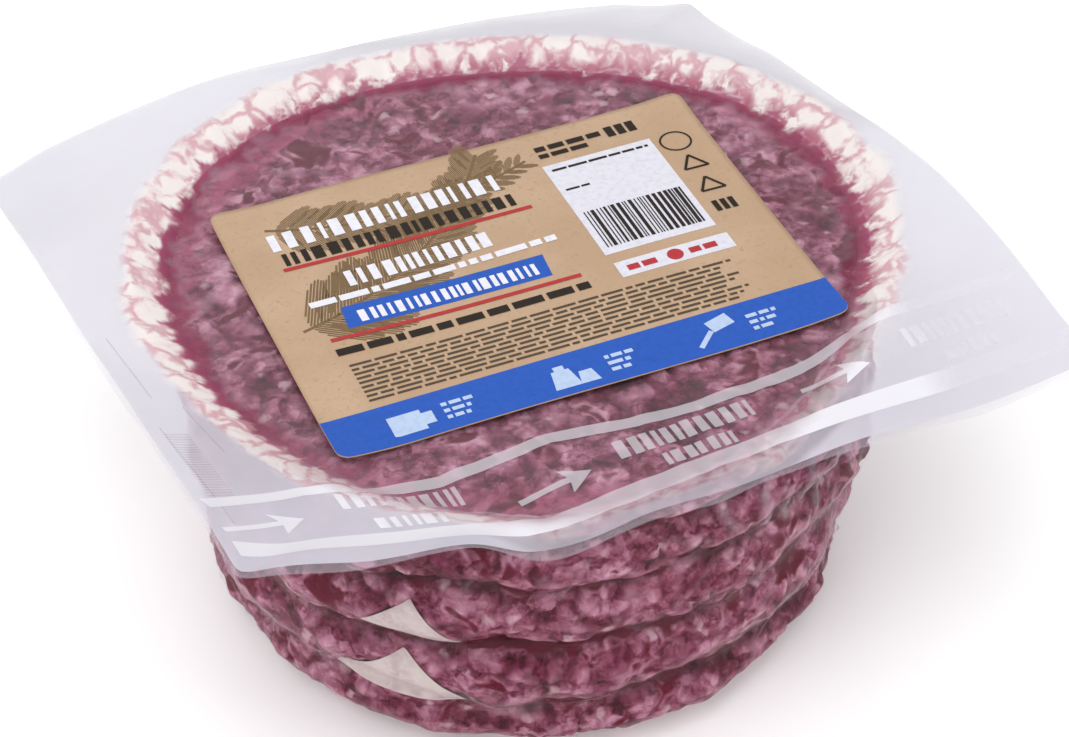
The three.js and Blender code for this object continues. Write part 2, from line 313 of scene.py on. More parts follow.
def mincedBeefMaterial():
    look = beefLook
    material, tree = newMaterial("minced_beef_raw")
    place = addNode(tree, "place")
    crease, rosy, raised = (
        addNode(tree, "field", attribute_name=name) for name in ("crease", "rosy", "raised"))
    wander = addNode(tree, "noise", place, 1 / (look["wanderMm"] * mm), out="Color")
    bent = addNode(tree, "moved", place, addNode(tree, "scaled", wander, look["wanderBy"] * mm))
    grain, patch, fine, pool = (
        addNode(tree, "noise", place, 1 / (look[size] * mm), detail, 0.66, 0.5)
        for size, detail in (("grainMm", 6), ("patchMm", 3), ("fineMm", 2), ("poolMm", 2)))
    # granules of muscle, each a little lighter or darker, with painted shade in the gap round it
    granules = addNode(tree, "cells", bent, 1 / (look["granuleMm"] * mm))
    tone = addNode(tree, "split", granules.node.outputs["Color"], out="Green")
    tone = addNode(tree, "times", addNode(tree, "minus", tone, 0.5), look["granuleTone"])
    paintedGapShade = addNode(tree, "times", addNode(tree, "ramp", granules, 0.35, 0.75), look["granuleGapShade"])
    value = addNode(tree, "minus", addNode(tree, "plus", grain, tone), paintedGapShade)
    colour = addNode(tree, "stops", value)
    stops, elements = look["grain"], colour.node.color_ramp.elements
    for element, (position, code) in zip(elements, (stops[0], stops[-1])):
        element.position, element.color = position, hexColour(code)
    for position, code in stops[1:-1]:
        elements.new(position).color = hexColour(code)
    # broad dark patches, then painted shade in the hollows and a painted highlight on the tops of the lumps
    colour = addNode(tree, "stain", addNode(tree, "ramp", patch, 0.62, 0.38), colour, look["patchDark"])
    shade = addNode(tree, "mix", raised, look["low"], "#FFFFFF")
    colour = addNode(tree, "stain", 1, colour, shade)
    top = addNode(tree, "times", addNode(tree, "ramp", raised, 0.6, 1), look["paintedTopHighlightShare"])
    colour = addNode(tree, "mix", top, colour, look["high"])
    # specks of fat, the redder top edge, painted shade in the creases and pools of juice
    fatCells = addNode(tree, "cells", bent, 1 / (look["fatMm"] * mm))
    picked = addNode(tree, "ramp", addNode(tree, "split", fatCells.node.outputs["Color"]), 0.8, 0.9)
    speck = addNode(tree, "times", picked, addNode(tree, "ramp", fatCells, 0.5, 0.15))
    colour = addNode(tree, "mix", addNode(tree, "times", speck, look["fatShare"]), colour, look["fat"])
    edge = addNode(tree, "times", rosy, addNode(tree, "ramp", grain, 0.2, 0.6))
    colour = addNode(tree, "mix", edge, colour, look["rosy"])
    # painted shade in the creases, deepest where the film bridges widest
    creased = addNode(tree, "times", crease, look["creaseShadeShare"])
    colour = addNode(tree, "stain", creased, colour, look["crease"])
    depth = addNode(tree, "plus", addNode(tree, "times", crease, look["poolInCrease"]), pool)
    pooled = addNode(tree, "ramp", depth, look["poolFrom"], look["poolTo"])
    colour = addNode(tree, "mix", pooled, colour, look["pool"])
    bump = addNode(tree, "bump", value, look["coarseBumpMm"] * mm, 1)
    bump = addNode(tree, "bump", fine, look["fineBumpMm"] * mm, 0.8, bump)
    addNode(tree, "end", addNode(tree, "surface", colour, look["roughness"], 0.06, bump, links={
        "IOR": 1.38, "Subsurface Weight": 0.1, "Subsurface Radius": (0.8, 0.3, 0.25),
        "Subsurface Scale": 1.2 * mm}))
    return material


beefMaterial = mincedBeefMaterial()

# The relief of the minced beef: lumps pressed together, with creases where they part.
reliefLook = {
    "lumpMm": (7.5, 7.5, 5.5), "lumpHeight": 0.82, "creaseDepth": 1.1, "strandMm": (4, 4, 2.6),
    "strandHeight": 0.55, "fineMm": (2.1, 2.1, 2.1), "fineHeight": 0.3, "patchMm": (19, 19, 13),
    "bendMm": (6, 6, 6), "bendBy": 2.2, "partingWidth": 0.22,
    "seamPatchMm": 22, "seamDepth": (0.25, 1.6), "seamWander": 2.2, "seamWanderMm": 12,
}


def beefRelief(points, strength, seed):
    look = reliefLook
    bend = np.stack([noiseField(points, look["bendMm"], seed + k) for k in (1, 2, 3)], -1)
    near, second = cellField(points + look["bendBy"] * bend, look["lumpMm"], seed)
    patch = noiseField(points, look["patchMm"], seed + 4)
    pillow = 1 - np.clip(near, 0, 1) ** 2
    parting = 1 - smoothStep(second - near, 0, look["partingWidth"])
    relief = look["lumpHeight"] * (pillow - 0.7)
    relief -= look["creaseDepth"] * parting * smoothStep(patch, -0.15, 0.25)
    relief += look["strandHeight"] * noiseField(points, look["strandMm"], seed + 5)
    relief += look["fineHeight"] * noiseField(points, look["fineMm"], seed + 6)
    return strength * relief


# The side of the stack on one grid, columns by rows: first up the rounded lower edge, then up
# the side. The burgers and the film round them are both worked out from it.
sideGrid = {"arcRows": 22, "rowStep": 0.5, "seamInset": 2.4, "swellPower": 0.55, "topRounding": 0.9,
            "lipHeight": 5, "underCollar": 1.2}
arcTurns = np.linspace(0, math.pi / 2, sideGrid["arcRows"], endpoint=False)
uprightRows = np.arange(packShape["baseRise"], stackHeight + 0.01, sideGrid["rowStep"])
rowHeights = np.concatenate([packShape["baseRise"] * (1 - np.cos(arcTurns)), uprightRows])
gridAngles, gridHeights = np.meshgrid(angles, rowHeights, indexing="ij")


def seamRing(seam, angle):
    return onCircle(angle, packShape["burgerRadius"], 40.0 * seam)


def seamDepth(seam, angle):
    # The burgers are pressed together unevenly, so a seam is deep in places and nearly closed in others
    low, high = reliefLook["seamDepth"]
    patch = noiseField(seamRing(seam, angle), [reliefLook["seamPatchMm"]] * 3, 51)
    return low + (high - low) * smoothStep(patch, -0.35, 0.45)


def seamLine(seam, angle):
    # The seam with the small wander of soft meat on top of its main waves
    size = 0 if seam in (0, len(thicknesses)) else reliefLook["seamWander"]
    wander = noiseField(seamRing(seam, angle), [reliefLook["seamWanderMm"]] * 3, 57)
    return seamHeight(seam, angle) + size * wander


seamDepths = [seamDepth(seam, angles) for seam in range(len(thicknesses) + 1)]
seamLines = [seamLine(seam, angles) for seam in range(len(thicknesses) + 1)]


def burgerProfile(level, angle, share):
    # Side of one burger before its relief; share runs from its lower to its upper seam
    depth = seamDepths[level][:, None] * (1 - share) + seamDepths[level + 1][:, None] * share
    swell = np.sin(math.pi * np.clip(share, 0, 1)) ** sideGrid["swellPower"]
    if level == len(thicknesses) - 1:
        swell = np.where(share > 0.5, 1, swell)
    if level == 0:
        swell = np.where(share < 0.5, 1, swell)
    return sideRadius(level, angle, swell) - sideGrid["seamInset"] * depth * (1 - swell)


def baseRounding(height):
    return np.sqrt(np.clip(1 - (1 - np.clip(height / packShape["baseRise"], 0, 1)) ** 2, 0, 1))


def aboveBase(radii, heights):
    # The side drawn in towards the flat base over the rounded lower edge
    flat = packShape["baseFlatRadius"]
    return flat + (radii - flat) * baseRounding(heights)


def lipShare(height):
    return smoothStep(height, stackHeight - sideGrid["lipHeight"], stackHeight - 0.4)


def topLip(height, radius, angle):
    # The top edge spreads out, or draws in, to meet the collar, and is rounded over
    share = lipShare(height)
    under = np.minimum(sideGrid["underCollar"], 0.25 * (rimReach(angle) - faceReach(angle)))
    size = sideGrid["topRounding"]
    past = np.clip((height - (stackHeight - size)) / size, 0, 1)
    return radius + (faceReach(angle) + under - radius) * share - size * (1 - np.sqrt(1 - past ** 2))


profile = np.zeros_like(gridHeights)
for level in range(len(thicknesses)):
    low, high = seamLines[level][:, None], seamLines[level + 1][:, None]
    within = (gridHeights >= low) & (gridHeights <= high)
    profile = np.where(within, burgerProfile(level, gridAngles, (gridHeights - low) / (high - low)), profile)
profile = topLip(gridHeights, profile, gridAngles)
roughRadii = packShape["burgerRadius"] * (0.6 + 0.4 * baseRounding(gridHeights))
nominal = onCircle(gridAngles, roughRadii, gridHeights)
sideRelief = beefRelief(nominal, 1.0, 3) * (1 - 0.75 * lipShare(gridHeights))

# Corners of the interleaf paper, folded up against the side between the meat and the film.
# Each has a left tip, a peak and a right tip: bearing in degrees, height.
paperCorners = {
    "interleaf_a": {"left": (-142.5, 37.1), "peak": (-133.6, 45.2), "right": (-126.2, 34.1), "sag": 1.6},
    "interleaf_b": {"left": (-152, 16.9), "peak": (-136, 30.4), "right": (-123.2, 16.6), "sag": 2.4},
    "interleaf_c": {"left": (38, 34.5), "peak": (47, 43.8), "right": (55, 34), "sag": 1.5},
    "interleaf_d": {"left": (121, 17.5), "peak": (132, 29.6), "right": (143, 17.2), "sag": 2.2},
}
filmFit = {"overPaper": 0.1, "clearance": 0.12, "sideSuction": 0.009, "faceSuction": 0.01}


def paperEdges(corner, share):
    # Lower and upper edge of a paper corner at each share of its width
    (leftB, leftZ), (peakB, peakZ), (rightB, rightZ) = corner["left"], corner["peak"], corner["right"]
    peak = (peakB - leftB) / (rightB - leftB)
    low = leftZ + (rightZ - leftZ) * share - corner["sag"] * 4 * share * (1 - share)
    return low, np.interp(share, [0, peak, 1], [leftZ, peakZ, rightZ])


# Under its paper the meat is pressed flat
paperSheet = profile + sideRelief
for _ in range(24):
    paperSheet = neighbourMean(paperSheet)
paperSheet = paperSheet + 0.5
underPaper = np.zeros(profile.shape, bool)
for corner in paperCorners.values():
    start, width = corner["left"][0], corner["right"][0] - corner["left"][0]
    share = offBearing(np.degrees(gridAngles), start) / width
    low, high = paperEdges(corner, np.clip(share, 0, 1))
    underPaper |= (share > -0.03) & (share < 1.03) & (gridHeights > low - 0.5) & (gridHeights < high + 0.5)
sideRelief = np.where(underPaper, np.minimum(sideRelief, paperSheet - 0.2 - profile), sideRelief)
sideMeat = profile + sideRelief
sideFilm = tightSkin(np.where(underPaper, paperSheet + filmFit["overPaper"], sideMeat), filmFit["clearance"],
                     filmFit["sideSuction"], 160)
sideGap = sideFilm - sideMeat
# how high each point stands in its relief, which the beef material turns into painted shade and painted
# highlight
sideRaised = smoothStep(sideRelief, -1.3, 1.0)
print("side relief", sideMeat.shape)

# The top face on its own grid, columns by rings from the centre out.
faceShares = np.linspace(0, 1, 84)
faceAngles, faceSharesGrid = np.meshgrid(angles, faceShares, indexing="ij")
facePoints = onCircle(faceAngles, faceSharesGrid * faceReach(faceAngles), stackHeight)
faceRelief = beefRelief(facePoints, 0.42, 9)
faceMeat = faceHeight(facePoints[..., 0], facePoints[..., 1]) - 0.35 + faceRelief
faceFilm = tightSkin(faceMeat, filmFit["clearance"], filmFit["faceSuction"], 60)
faceGap = faceFilm - faceMeat
# how high each point stands in its relief, which the beef material turns into painted shade and painted
# highlight
faceRaised = smoothStep(faceRelief, -0.55, 0.42)
print("face relief", faceMeat.shape)


def creaseShade(gap):
    return smoothStep(gap, 0.5, 2.2) * 0.85


def sampled(grid, places, rows):
    # A grid's values at other places along its rows, column by column
    return np.array([np.interp(place, rows, line) for place, line in zip(places, grid)])


def closing(rim, shares):
    # Rows that run in from a rim towards the axis, level with the rim
    return rim * np.stack([shares, shares, np.ones(len(shares))], -1)


def fanFaces(hub, columns, rows, row, first, upward):
    # Triangles from one point to a row of a sheet that closes on itself
    ring = [first + c * rows + row for c in range(columns)]
    pairs = zip(ring, ring[1:] + ring[:1])
    return [(hub, here, beside) if upward else (hub, beside, here) for here, beside in pairs]


# The burgers: each is its share of the side, closed below and above; the top one has the face relief.
burgerShape = {
    "rows": 30, "arcRows": 20, "baseRows": 18, "apart": 0.06, "lowest": 0.15, "underLip": 0.45,
    "closing": (0.9, 0.68, 0.34), "rosyRadius": (60, 65), "rosyBelowTop": (2.5, 0.5), "rosyShare": 0.7,
}


def burgerRows(level):
    # Lower seam, upper seam and the heights of the side rows, column by column
    low, high = seamLines[level], seamLines[level + 1]
    if level == len(thicknesses) - 1:
        high = high - burgerShape["underLip"]
    if level > 0:
        shares = (1 - np.cos(np.linspace(0, math.pi, burgerShape["rows"]))) / 2
        return low, high, low[:, None] + (high - low)[:, None] * shares
    base = packShape["baseRise"]
    arc = base * (1 - np.cos(np.linspace(0, math.pi / 2, burgerShape["arcRows"])))
    upright = base + (high - base)[:, None] * np.linspace(0, 1, burgerShape["baseRows"])[1:]
    return low, high, np.concatenate([np.tile(arc, (len(angles), 1)), upright], 1)


def makeBurger(level):
    shape, columns = burgerShape, angles[:, None]
    isTop = level == len(thicknesses) - 1
    low, high, heights = burgerRows(level)
    radii = burgerProfile(level, columns, (heights - low[:, None]) / (high - low)[:, None])
    if isTop:
        radii = topLip(heights, radii, columns)
    radii = radii + sampled(sideRelief, heights, rowHeights)
    if level == 0:
        radii = aboveBase(radii, heights)
    gap, raised = (sampled(field, heights, rowHeights) for field in (sideGap, sideRaised))
    sides = onCircle(columns, radii, heights)
    sides[:, 0, 2] += shape["apart"]
    if level == 0:
        sides[..., 2] = np.maximum(sides[..., 2], shape["lowest"])
    under = closing(sides[:, :1], shape["closing"][::-1])
    below = np.zeros(under.shape[:2])
    if isTop:
        shares = faceShares[1:-1][::-1]
        places = np.tile(shares, (len(angles), 1))
        inner, gapAbove, raisedAbove = (
            sampled(field, places, faceShares) for field in (faceMeat, faceGap, faceRaised))
        upper = onCircle(columns, radii[:, -1:] * shares, inner)
        settle = smoothStep(shares, 0.93, 1.0)
        upper[..., 2] = upper[..., 2] * (1 - settle) + sides[:, -1:, 2] * settle
        middle = faceMeat[:, 0].mean()
    else:
        sides[:, -1, 2] -= shape["apart"]
        upper = closing(sides[:, -1:], shape["closing"])
        gapAbove = raisedAbove = np.zeros(upper.shape[:2])
        middle = sides[:, -1, 2].mean()
    grid = np.concatenate([under, sides, upper], 1)
    count, rows = grid.shape[:2]
    faces = wrappedFaces(count, rows, 2) + fanFaces(0, count, rows, 0, 2, False)
    faces += fanFaces(1, count, rows, rows - 1, 2, True)
    ends = [(0, 0, sides[:, 0, 2].mean()), (0, 0, middle)]
    points = np.concatenate([ends, grid.reshape(-1, 3)])
    nearTop = smoothStep(points[:, 2], *(stackHeight - drop for drop in shape["rosyBelowTop"]))
    nearEdge = smoothStep(np.hypot(points[:, 0], points[:, 1]), *shape["rosyRadius"])
    crease = creaseShade(np.concatenate([below, gap, gapAbove], 1)).ravel()
    raised = np.concatenate([below, raised, raisedAbove], 1).ravel()
    return makePiece(f"burger_{level + 1}", points, faces, beefMaterial, {
        "crease": np.concatenate([[0, 0], crease]), "rosy": nearEdge * nearTop * shape["rosyShare"],
        "raised": np.concatenate([[0, 0.5], raised])})


for level in range(len(thicknesses)):
    makeBurger(level)
print("burgers made")

# Clear packing film, PA and PE layers blown and drawn over the food. Polymers scatter a little
# light, so it is milky where it hangs free and clear where it clings to wet meat.
filmLook = {
    "milk": "#DCDAE5", "clingTint": "#CDA9B6", "mirror": 0.015, "mirrorEdge": 0.45, "backLit": 0.4,
    "rippleMm": 14, "crinkleMm": 2.6, "lidRoughness": 0.2, "formedRoughness": 0.24,
}
# Cream fat smeared under the collar: blown cells with pink juice in the creases between them
collarLook = {
    "cream": "#F8F2EE", "blush": "#ECCED0", "juice": "#B4607A", "juiceThin": "#DCB0B8", "deep": "#AC5876",
    "cellMm": 5.8, "blushMm": 5, "wallInner": 0.62, "wallOuter": 0.16, "wallReach": 0.55,
    "bendMm": 4, "bendBy": 5,
}


def scatteredLight(tree, tint):
    front, back = addNode(tree, "diffuse", tint), addNode(tree, "translucent", tint)
    return addNode(tree, "blend", filmLook["backLit"], front, back)


def filmShader(tree, scatter, haze, roughness, normal, dull=0.0):
    # Part of the light goes straight through, part is scattered, and the skin is glossy
    veil = addNode(tree, "blend", haze, addNode(tree, "clear", "#FFFFFF"), scatter)
    facing = addNode(tree, "facing", 0.5, normal)
    edge = addNode(tree, "times", addNode(tree, "power", facing, 5), filmLook["mirrorEdge"])
    edge = addNode(tree, "times", edge, addNode(tree, "minus", 1, dull))
    mirror = addNode(tree, "plus", edge, filmLook["mirror"])
    return addNode(tree, "blend", mirror, veil, addNode(tree, "glossy", "#FFFFFF", roughness, normal))


def filmBump(tree, place, ripple, crinkle):
    # heights of the ripples and the crinkles, in millimetres
    broad = addNode(tree, "noise", place, 1 / (filmLook["rippleMm"] * mm), 1)
    fine = addNode(tree, "noise", place, 1 / (filmLook["crinkleMm"] * mm), 0)
    return addNode(tree, "bump", fine, crinkle * mm, 1, addNode(tree, "bump", broad, ripple * mm, 1))


def formedFilmMaterial():
    material, tree = newMaterial("formed_film_clear")
    haze = addNode(tree, "field", attribute_name="haze")
    clinging = addNode(tree, "ramp", haze, 0.24, 0.18)
    tint = addNode(tree, "mix", clinging, filmLook["milk"], filmLook["clingTint"])
    normal = filmBump(tree, addNode(tree, "place"), 0.5, 0.12)
    shader = filmShader(tree, scatteredLight(tree, tint), haze, filmLook["formedRoughness"], normal)
    addNode(tree, "end", shader)
    return material


def lidFilmMaterial():
    look = collarLook
    material, tree = newMaterial("lid_film_clear")
    polar = addNode(tree, "field", attribute_name="polar", out="Vector")
    haze, collar, fringe, across, dull = (
        addNode(tree, "field", attribute_name=name)
        for name in ("haze", "collar", "fringe", "across", "dull"))
    bend = addNode(tree, "noise", polar, 1 / (look["bendMm"] * mm), 2, out="Color")
    bend = addNode(tree, "scaled", addNode(tree, "moved", bend, (-0.5, -0.5, -0.5)), look["bendBy"] * mm)
    bent = addNode(tree, "moved", polar, bend)
    walls = addNode(tree, "cells", bent, 1 / (look["cellMm"] * mm), feature="DISTANCE_TO_EDGE")
    middle = addNode(tree, "cells", bent, 1 / (look["cellMm"] * mm))
    blush = addNode(tree, "noise", bent, 1 / (look["blushMm"] * mm), 4, 0.6)
    # cream cells that flush pink towards their walls: the pink patches are the juice's tint, and the flush at
    # each cell's edge is painted shade of the puffed cells
    # painted shade at the edge of each puffed cell
    rim = addNode(tree, "ramp", middle, 0.45, 0.95)
    rim = addNode(tree, "times", rim, addNode(tree, "ramp", blush, 0.35, 0.7))
    flush = addNode(tree, "plus", addNode(tree, "ramp", blush, 0.5, 0.85), rim)
    fat = addNode(tree, "mix", flush, look["cream"], look["blush"])
    # juice between the cells, wider and darker near the meat
    width = addNode(tree, "ramp", across, 0, look["wallReach"], look["wallInner"], look["wallOuter"],
                    interpolation_type="LINEAR")
    inWall = addNode(tree, "ramp", addNode(tree, "over", walls, width), 1.1, 0.1)
    seams = addNode(tree, "times", inWall, addNode(tree, "ramp", blush, 0.34, 0.52))
    outwards = addNode(tree, "ramp", across, 0.1, 0.7)
    juice = addNode(tree, "mix", outwards, look["juice"], look["juiceThin"])
    fat = addNode(tree, "mix", seams, fat, juice)
    under = addNode(tree, "mix", fringe, filmLook["milk"], look["deep"])
    # the cells are only worked out where the collar is
    scatter = addNode(tree, "blend", collar, scatteredLight(tree, under), scatteredLight(tree, fat))
    normal = filmBump(tree, addNode(tree, "place"), 0.35, 0.06)
    addNode(tree, "end", filmShader(tree, scatter, haze, filmLook["lidRoughness"], normal, dull))
    return material


# The lid film: a grid of columns and rings over the face, the collar and the flange.
lidShape = {
    "collarRings": 26, "flangeRings": 34, "aboveFace": 0.1, "smoothing": 1.1, "creaseRounding": 2.2,
    "step": 0.3, "stepEase": 2.0, "cellStretch": 1.05,
    "bubbleMm": (3.4, 3.4, 5), "bubbleHeight": 0.8, "crinkleCount": 46, "crinkleHeight": 0.2,
    "notchCount": 84, "notchDepth": 3.0, "flangeRippleMm": (34, 22, 20), "flangeRipple": 0.45,
    "front": -104, "frontLeft": (16, 66), "frontRight": (46, 74),  # bearings in degrees
}
# How milky each part is. At the front left the milk reaches in over the collar. The ridge's thin milky lines
# are a painted highlight along the front fold's edges.
hazeLook = {
    "face": 0.1, "collar": 0.95, "flange": 0.64, "frontFlange": 0.82, "frontBand": 0.42, "ridge": 0.62,
    "formedFlange": 0.25, "side": 0.01, "fringe": 0.5, "notch": 0.95,
    "milkBearing": -128, "milkReach": 5, "milkWidth": 11, "bandFrom": (5, 18),
}


def polarPlace(angle, radius):
    # A place on a round tube, so that the cells follow the ring
    ring = packShape["rimRadius"]
    out = (radius - faceReach(angle)) * lidShape["cellStretch"]
    return np.stack([ring * np.cos(angle), ring * np.sin(angle), out], -1)


def frontness(angle):
    offFront = offBearing(np.degrees(angle), lidShape["front"])
    left, right = (smoothStep(side * offFront, *lidShape[name])
                   for side, name in ((-1, "frontLeft"), (1, "frontRight")))
    return 1 - np.where(offFront < 0, left, right)


def scallops(angle):
    # Where the juice runs out between the cells of fat: sharp notches of uneven depth
    pitchWander = 1.6 * np.sin(3 * angle + 0.4) + 1.1 * np.sin(7 * angle + 2) + 0.7 * np.sin(12 * angle + 1)
    notch = 1 - np.abs(np.sin(lidShape["notchCount"] / 2 * angle + pitchWander)) ** 0.7
    ring = onCircle(angle[:, 0], packShape["faceRadius"], 0.0)
    return notch * np.clip(0.75 + 1.3 * noiseField(ring, (9, 9, 9), 61), 0.1, 1.6)[:, None]


def lidGrid():
    # Radius and height of each point of the lid
    shape, columns = lidShape, angles[:, None]
    inner, rim, reach = faceReach(columns), rimReach(columns), flangeReach(columns)
    collarShare = np.linspace(0, 1, shape["collarRings"] + 1)[1:]
    flangeShare = np.linspace(0, 1, shape["flangeRings"] + 1)[1:] ** 1.15
    radii = np.concatenate([inner * faceShares[1:], inner + (rim - inner) * collarShare,
                            rim + (reach - rim) * flangeShare], 1)
    wide = np.broadcast_to(columns, radii.shape)
    d = shape["smoothing"]
    heights = (lidHeight(wide, radii - d) + lidHeight(wide, radii) + lidHeight(wide, radii + d)) / 3
    onFace = len(faceShares) - 1
    heights[:, :onFace] = faceFilm[:, 1:] + shape["aboveFace"]
    # ease from the face film to the collar
    edgeStep = heights[:, onFace - 1:onFace] - lidHeight(columns, inner)
    fade = np.exp(-(radii[:, onFace:] - inner) / shape["stepEase"])
    heights[:, onFace:] += shape["step"] + (edgeStep - shape["step"]) * fade
    # bubbles and crinkles on the collar
    onCollar = smoothStep(radii - inner, -1.5, 1.0) * (1 - smoothStep(radii - rim, -1.5, 1.5))
    bubble = np.zeros_like(radii)
    bubble[:, onFace - 4:] = noiseField(polarPlace(wide, radii)[:, onFace - 4:], shape["bubbleMm"], 21)
    heights += shape["bubbleHeight"] * bubble * onCollar * (1 - 0.75 * frontness(wide))
    crinkle = np.cos(shape["crinkleCount"] * wide + 5 * np.sin(3 * wide)) * np.cos(5 * wide)
    heights += shape["crinkleHeight"] * crinkle * onCollar
    # the crease between the face and the collar is rounded
    rounded = np.zeros_like(heights)
    for offset in np.linspace(-1, 1, 7) * shape["creaseRounding"]:
        rounded += [np.interp(row + offset, row, high) / 7 for row, high in zip(radii, heights)]
    heights += (rounded - heights) * np.exp(-((radii - inner) / shape["creaseRounding"]) ** 2)
    ripple = noiseField(onCircle(wide, radii, heights), shape["flangeRippleMm"], 31)
    heights += shape["flangeRipple"] * ripple * smoothStep(radii - rim, 0, 12)
    return radii, heights


def lidFields(radii):
    # How milky the lid is at each point, and where the fat and the juice are
    look, columns = hazeLook, angles[:, None]
    inner, rim = faceReach(columns), rimReach(columns)
    wide = np.broadcast_to(columns, radii.shape)
    polar, front = polarPlace(wide, radii), frontness(wide)
    smear = noiseField(polar, (7, 7, 12), 41)
    jag = noiseField(polar, (2.6, 2.6, 4.2), 43)
    notch = scallops(columns) * lidShape["notchDepth"]
    collar = smoothStep(radii - inner - notch + 1.6 * jag + 1.2 * smear, -0.9, 0.1)
    collar = collar * (1 - smoothStep(radii - rim + 1.5 * smear, -0.6, 2.4))
    fringe = smoothStep(radii - inner + 2.6 * jag + 2.4 * smear, -5.6, -2.0)
    fringe = fringe * (1 - smoothStep(radii - inner + 2.0 * jag + 2.2 * smear, 1.6, 5.0))
    stained = collar * (1 - 0.3 * front)
    collar *= 1 - 0.8 * front
    flangeHaze = look["flange"] + (look["frontFlange"] - look["flange"]) * front
    offMilk = offBearing(np.degrees(wide), look["milkBearing"])
    milkReach = look["milkReach"] * np.exp(-(offMilk / look["milkWidth"]) ** 2)
    haze = look["face"] + (flangeHaze - look["face"]) * smoothStep(radii - rim + milkReach, -3, 1)
    haze = haze + (look["collar"] - haze) * collar
    fringeHaze = look["fringe"] + (look["notch"] - look["fringe"]) * smoothStep(radii - inner, -1.8, -0.4)
    haze = haze + (fringeHaze - haze) * fringe * (1 - collar) * (1 - 0.8 * front)
    band = front * (1 - smoothStep(np.abs(radii - (rim + 0.5)), 2.5, 4.5))
    band = band * smoothStep(offMilk, *look["bandFrom"])
    haze = haze + (look["frontBand"] - haze) * band
    # thin milky lines along the front fold's edges: painted highlight of the fold
    ridge = np.exp(-((radii - inner - 0.8 - 0.9 * smear) / 0.42) ** 2) * front
    ridge = np.maximum(ridge, 0.7 * np.exp(-((radii - rim + 0.4 - 1.2 * jag) / 0.5) ** 2) * front)
    haze = haze + (look["ridge"] - haze) * ridge
    leftness = 0.35 * smoothStep(-np.cos(wide), 0.2, 0.8)
    return {
        "haze": haze, "collar": np.maximum(stained * (1 - 0.5 * ridge), 0.3 * ridge),
        "fringe": fringe * (1 - 0.7 * front), "dull": 0.9 * np.exp(-((radii - inner) / 3.5) ** 2),
        "across": np.clip((radii - inner) / (rim - inner) + leftness, 0, 1), "polar": polar * mm}


def makeLidFilm():
    radii, heights = lidGrid()
    count, rings = radii.shape
    wide = np.broadcast_to(angles[:, None], radii.shape)
    centre = (0, 0, faceFilm[:, 0].mean() + lidShape["aboveFace"])
    points = np.concatenate([[centre], onCircle(wide, radii, heights)[:, ::-1].reshape(-1, 3)])
    fields = {}
    for name, field in lidFields(radii).items():
        # the grid runs inwards, and the middle point comes first
        flipped = field[:, ::-1].reshape(count * rings, *field.shape[2:])
        middle = np.full((1, *field.shape[2:]), hazeLook["face"] if name == "haze" else 0)
        fields[name] = np.concatenate([middle, flipped])
    faces = wrappedFaces(count, rings, 1) + fanFaces(0, count, rings, rings - 1, 1, True)
    lid = makePiece("lid_film_sheet", points, faces, lidFilmMaterial(), fields)
    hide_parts("lid_film")
    return radii, heights


lidRadii, lidHeights = makeLidFilm()
print("lid film made")

# The formed film: it clings to the stack, then flares out under the lid to its own edge.
formedShape = {
    "flareRows": 8, "flangeRows": 16, "aboveSide": 0.1, "shoulderBelowTop": 1.0, "underLid": 0.5,
    "edgeBeyondLid": 0.7, "edgeWave": 0.35, "edgeDroop": 0.3,
    "wrinkles": 60, "wrinkleHeight": 0.8, "wrinkleWidth": 0.7, "wrinkleHaze": 0.22, "seed": 12,
    # folds that hang from the flange at the right front: bearing, height, length, tilt in degrees
    "pleats": [(-76, 56, 13, 78), (-71, 52, 15, 100), (-66, 54, 17, 84), (-61, 50, 19, 72),
               (-56, 53, 16, 96), (-50, 50, 20, 66), (-45, 54, 15, 88), (-83, 57, 10, 112),
               (-160, 52, 15, 70), (-153, 49, 13, 104)],
    "pleatWidth": 1.3, "pleatDepth": 1.3,
}


def foldLine(bearing, height, tilt):
    # Distance along and off a slanting line on the side
    across = offBearing(np.degrees(gridAngles), bearing) * math.radians(packShape["burgerRadius"])
    up = gridHeights - height
    return (across * math.cos(tilt) + up * math.sin(tilt), -across * math.sin(tilt) + up * math.cos(tilt))


def sideWrinkles():
    # Thin drawn folds of film, each a short slanting line round the side
    shape = formedShape
    draw = random.Random(shape["seed"])
    ridge = np.zeros_like(sideFilm)
    for _ in range(shape["wrinkles"]):
        bearing, height = draw.uniform(0, 360), draw.uniform(6, 64)
        length, tilt = draw.uniform(8, 26), math.radians(draw.choice([-1, 1]) * draw.uniform(25, 80))
        along, off = foldLine(bearing, height, tilt)
        off = off + 0.02 * along ** 2 * draw.uniform(-1, 1)
        taper = 1 - smoothStep(np.abs(along), length * 0.2, length * 0.5)
        width = shape["wrinkleWidth"] * draw.uniform(0.7, 1.5)
        ridge = np.maximum(ridge, taper * np.exp(-(off / width) ** 2) * draw.uniform(0.4, 1))
    for bearing, height, length, tilt in shape["pleats"]:
        along, off = foldLine(bearing, height, math.radians(tilt))
        off = off + 0.025 * along ** 2
        taper = 1 - smoothStep(np.abs(along), length * 0.25, length * 0.5)
        ridge = np.maximum(ridge, taper * np.exp(-(off / shape["pleatWidth"]) ** 2) * shape["pleatDepth"])
    return ridge


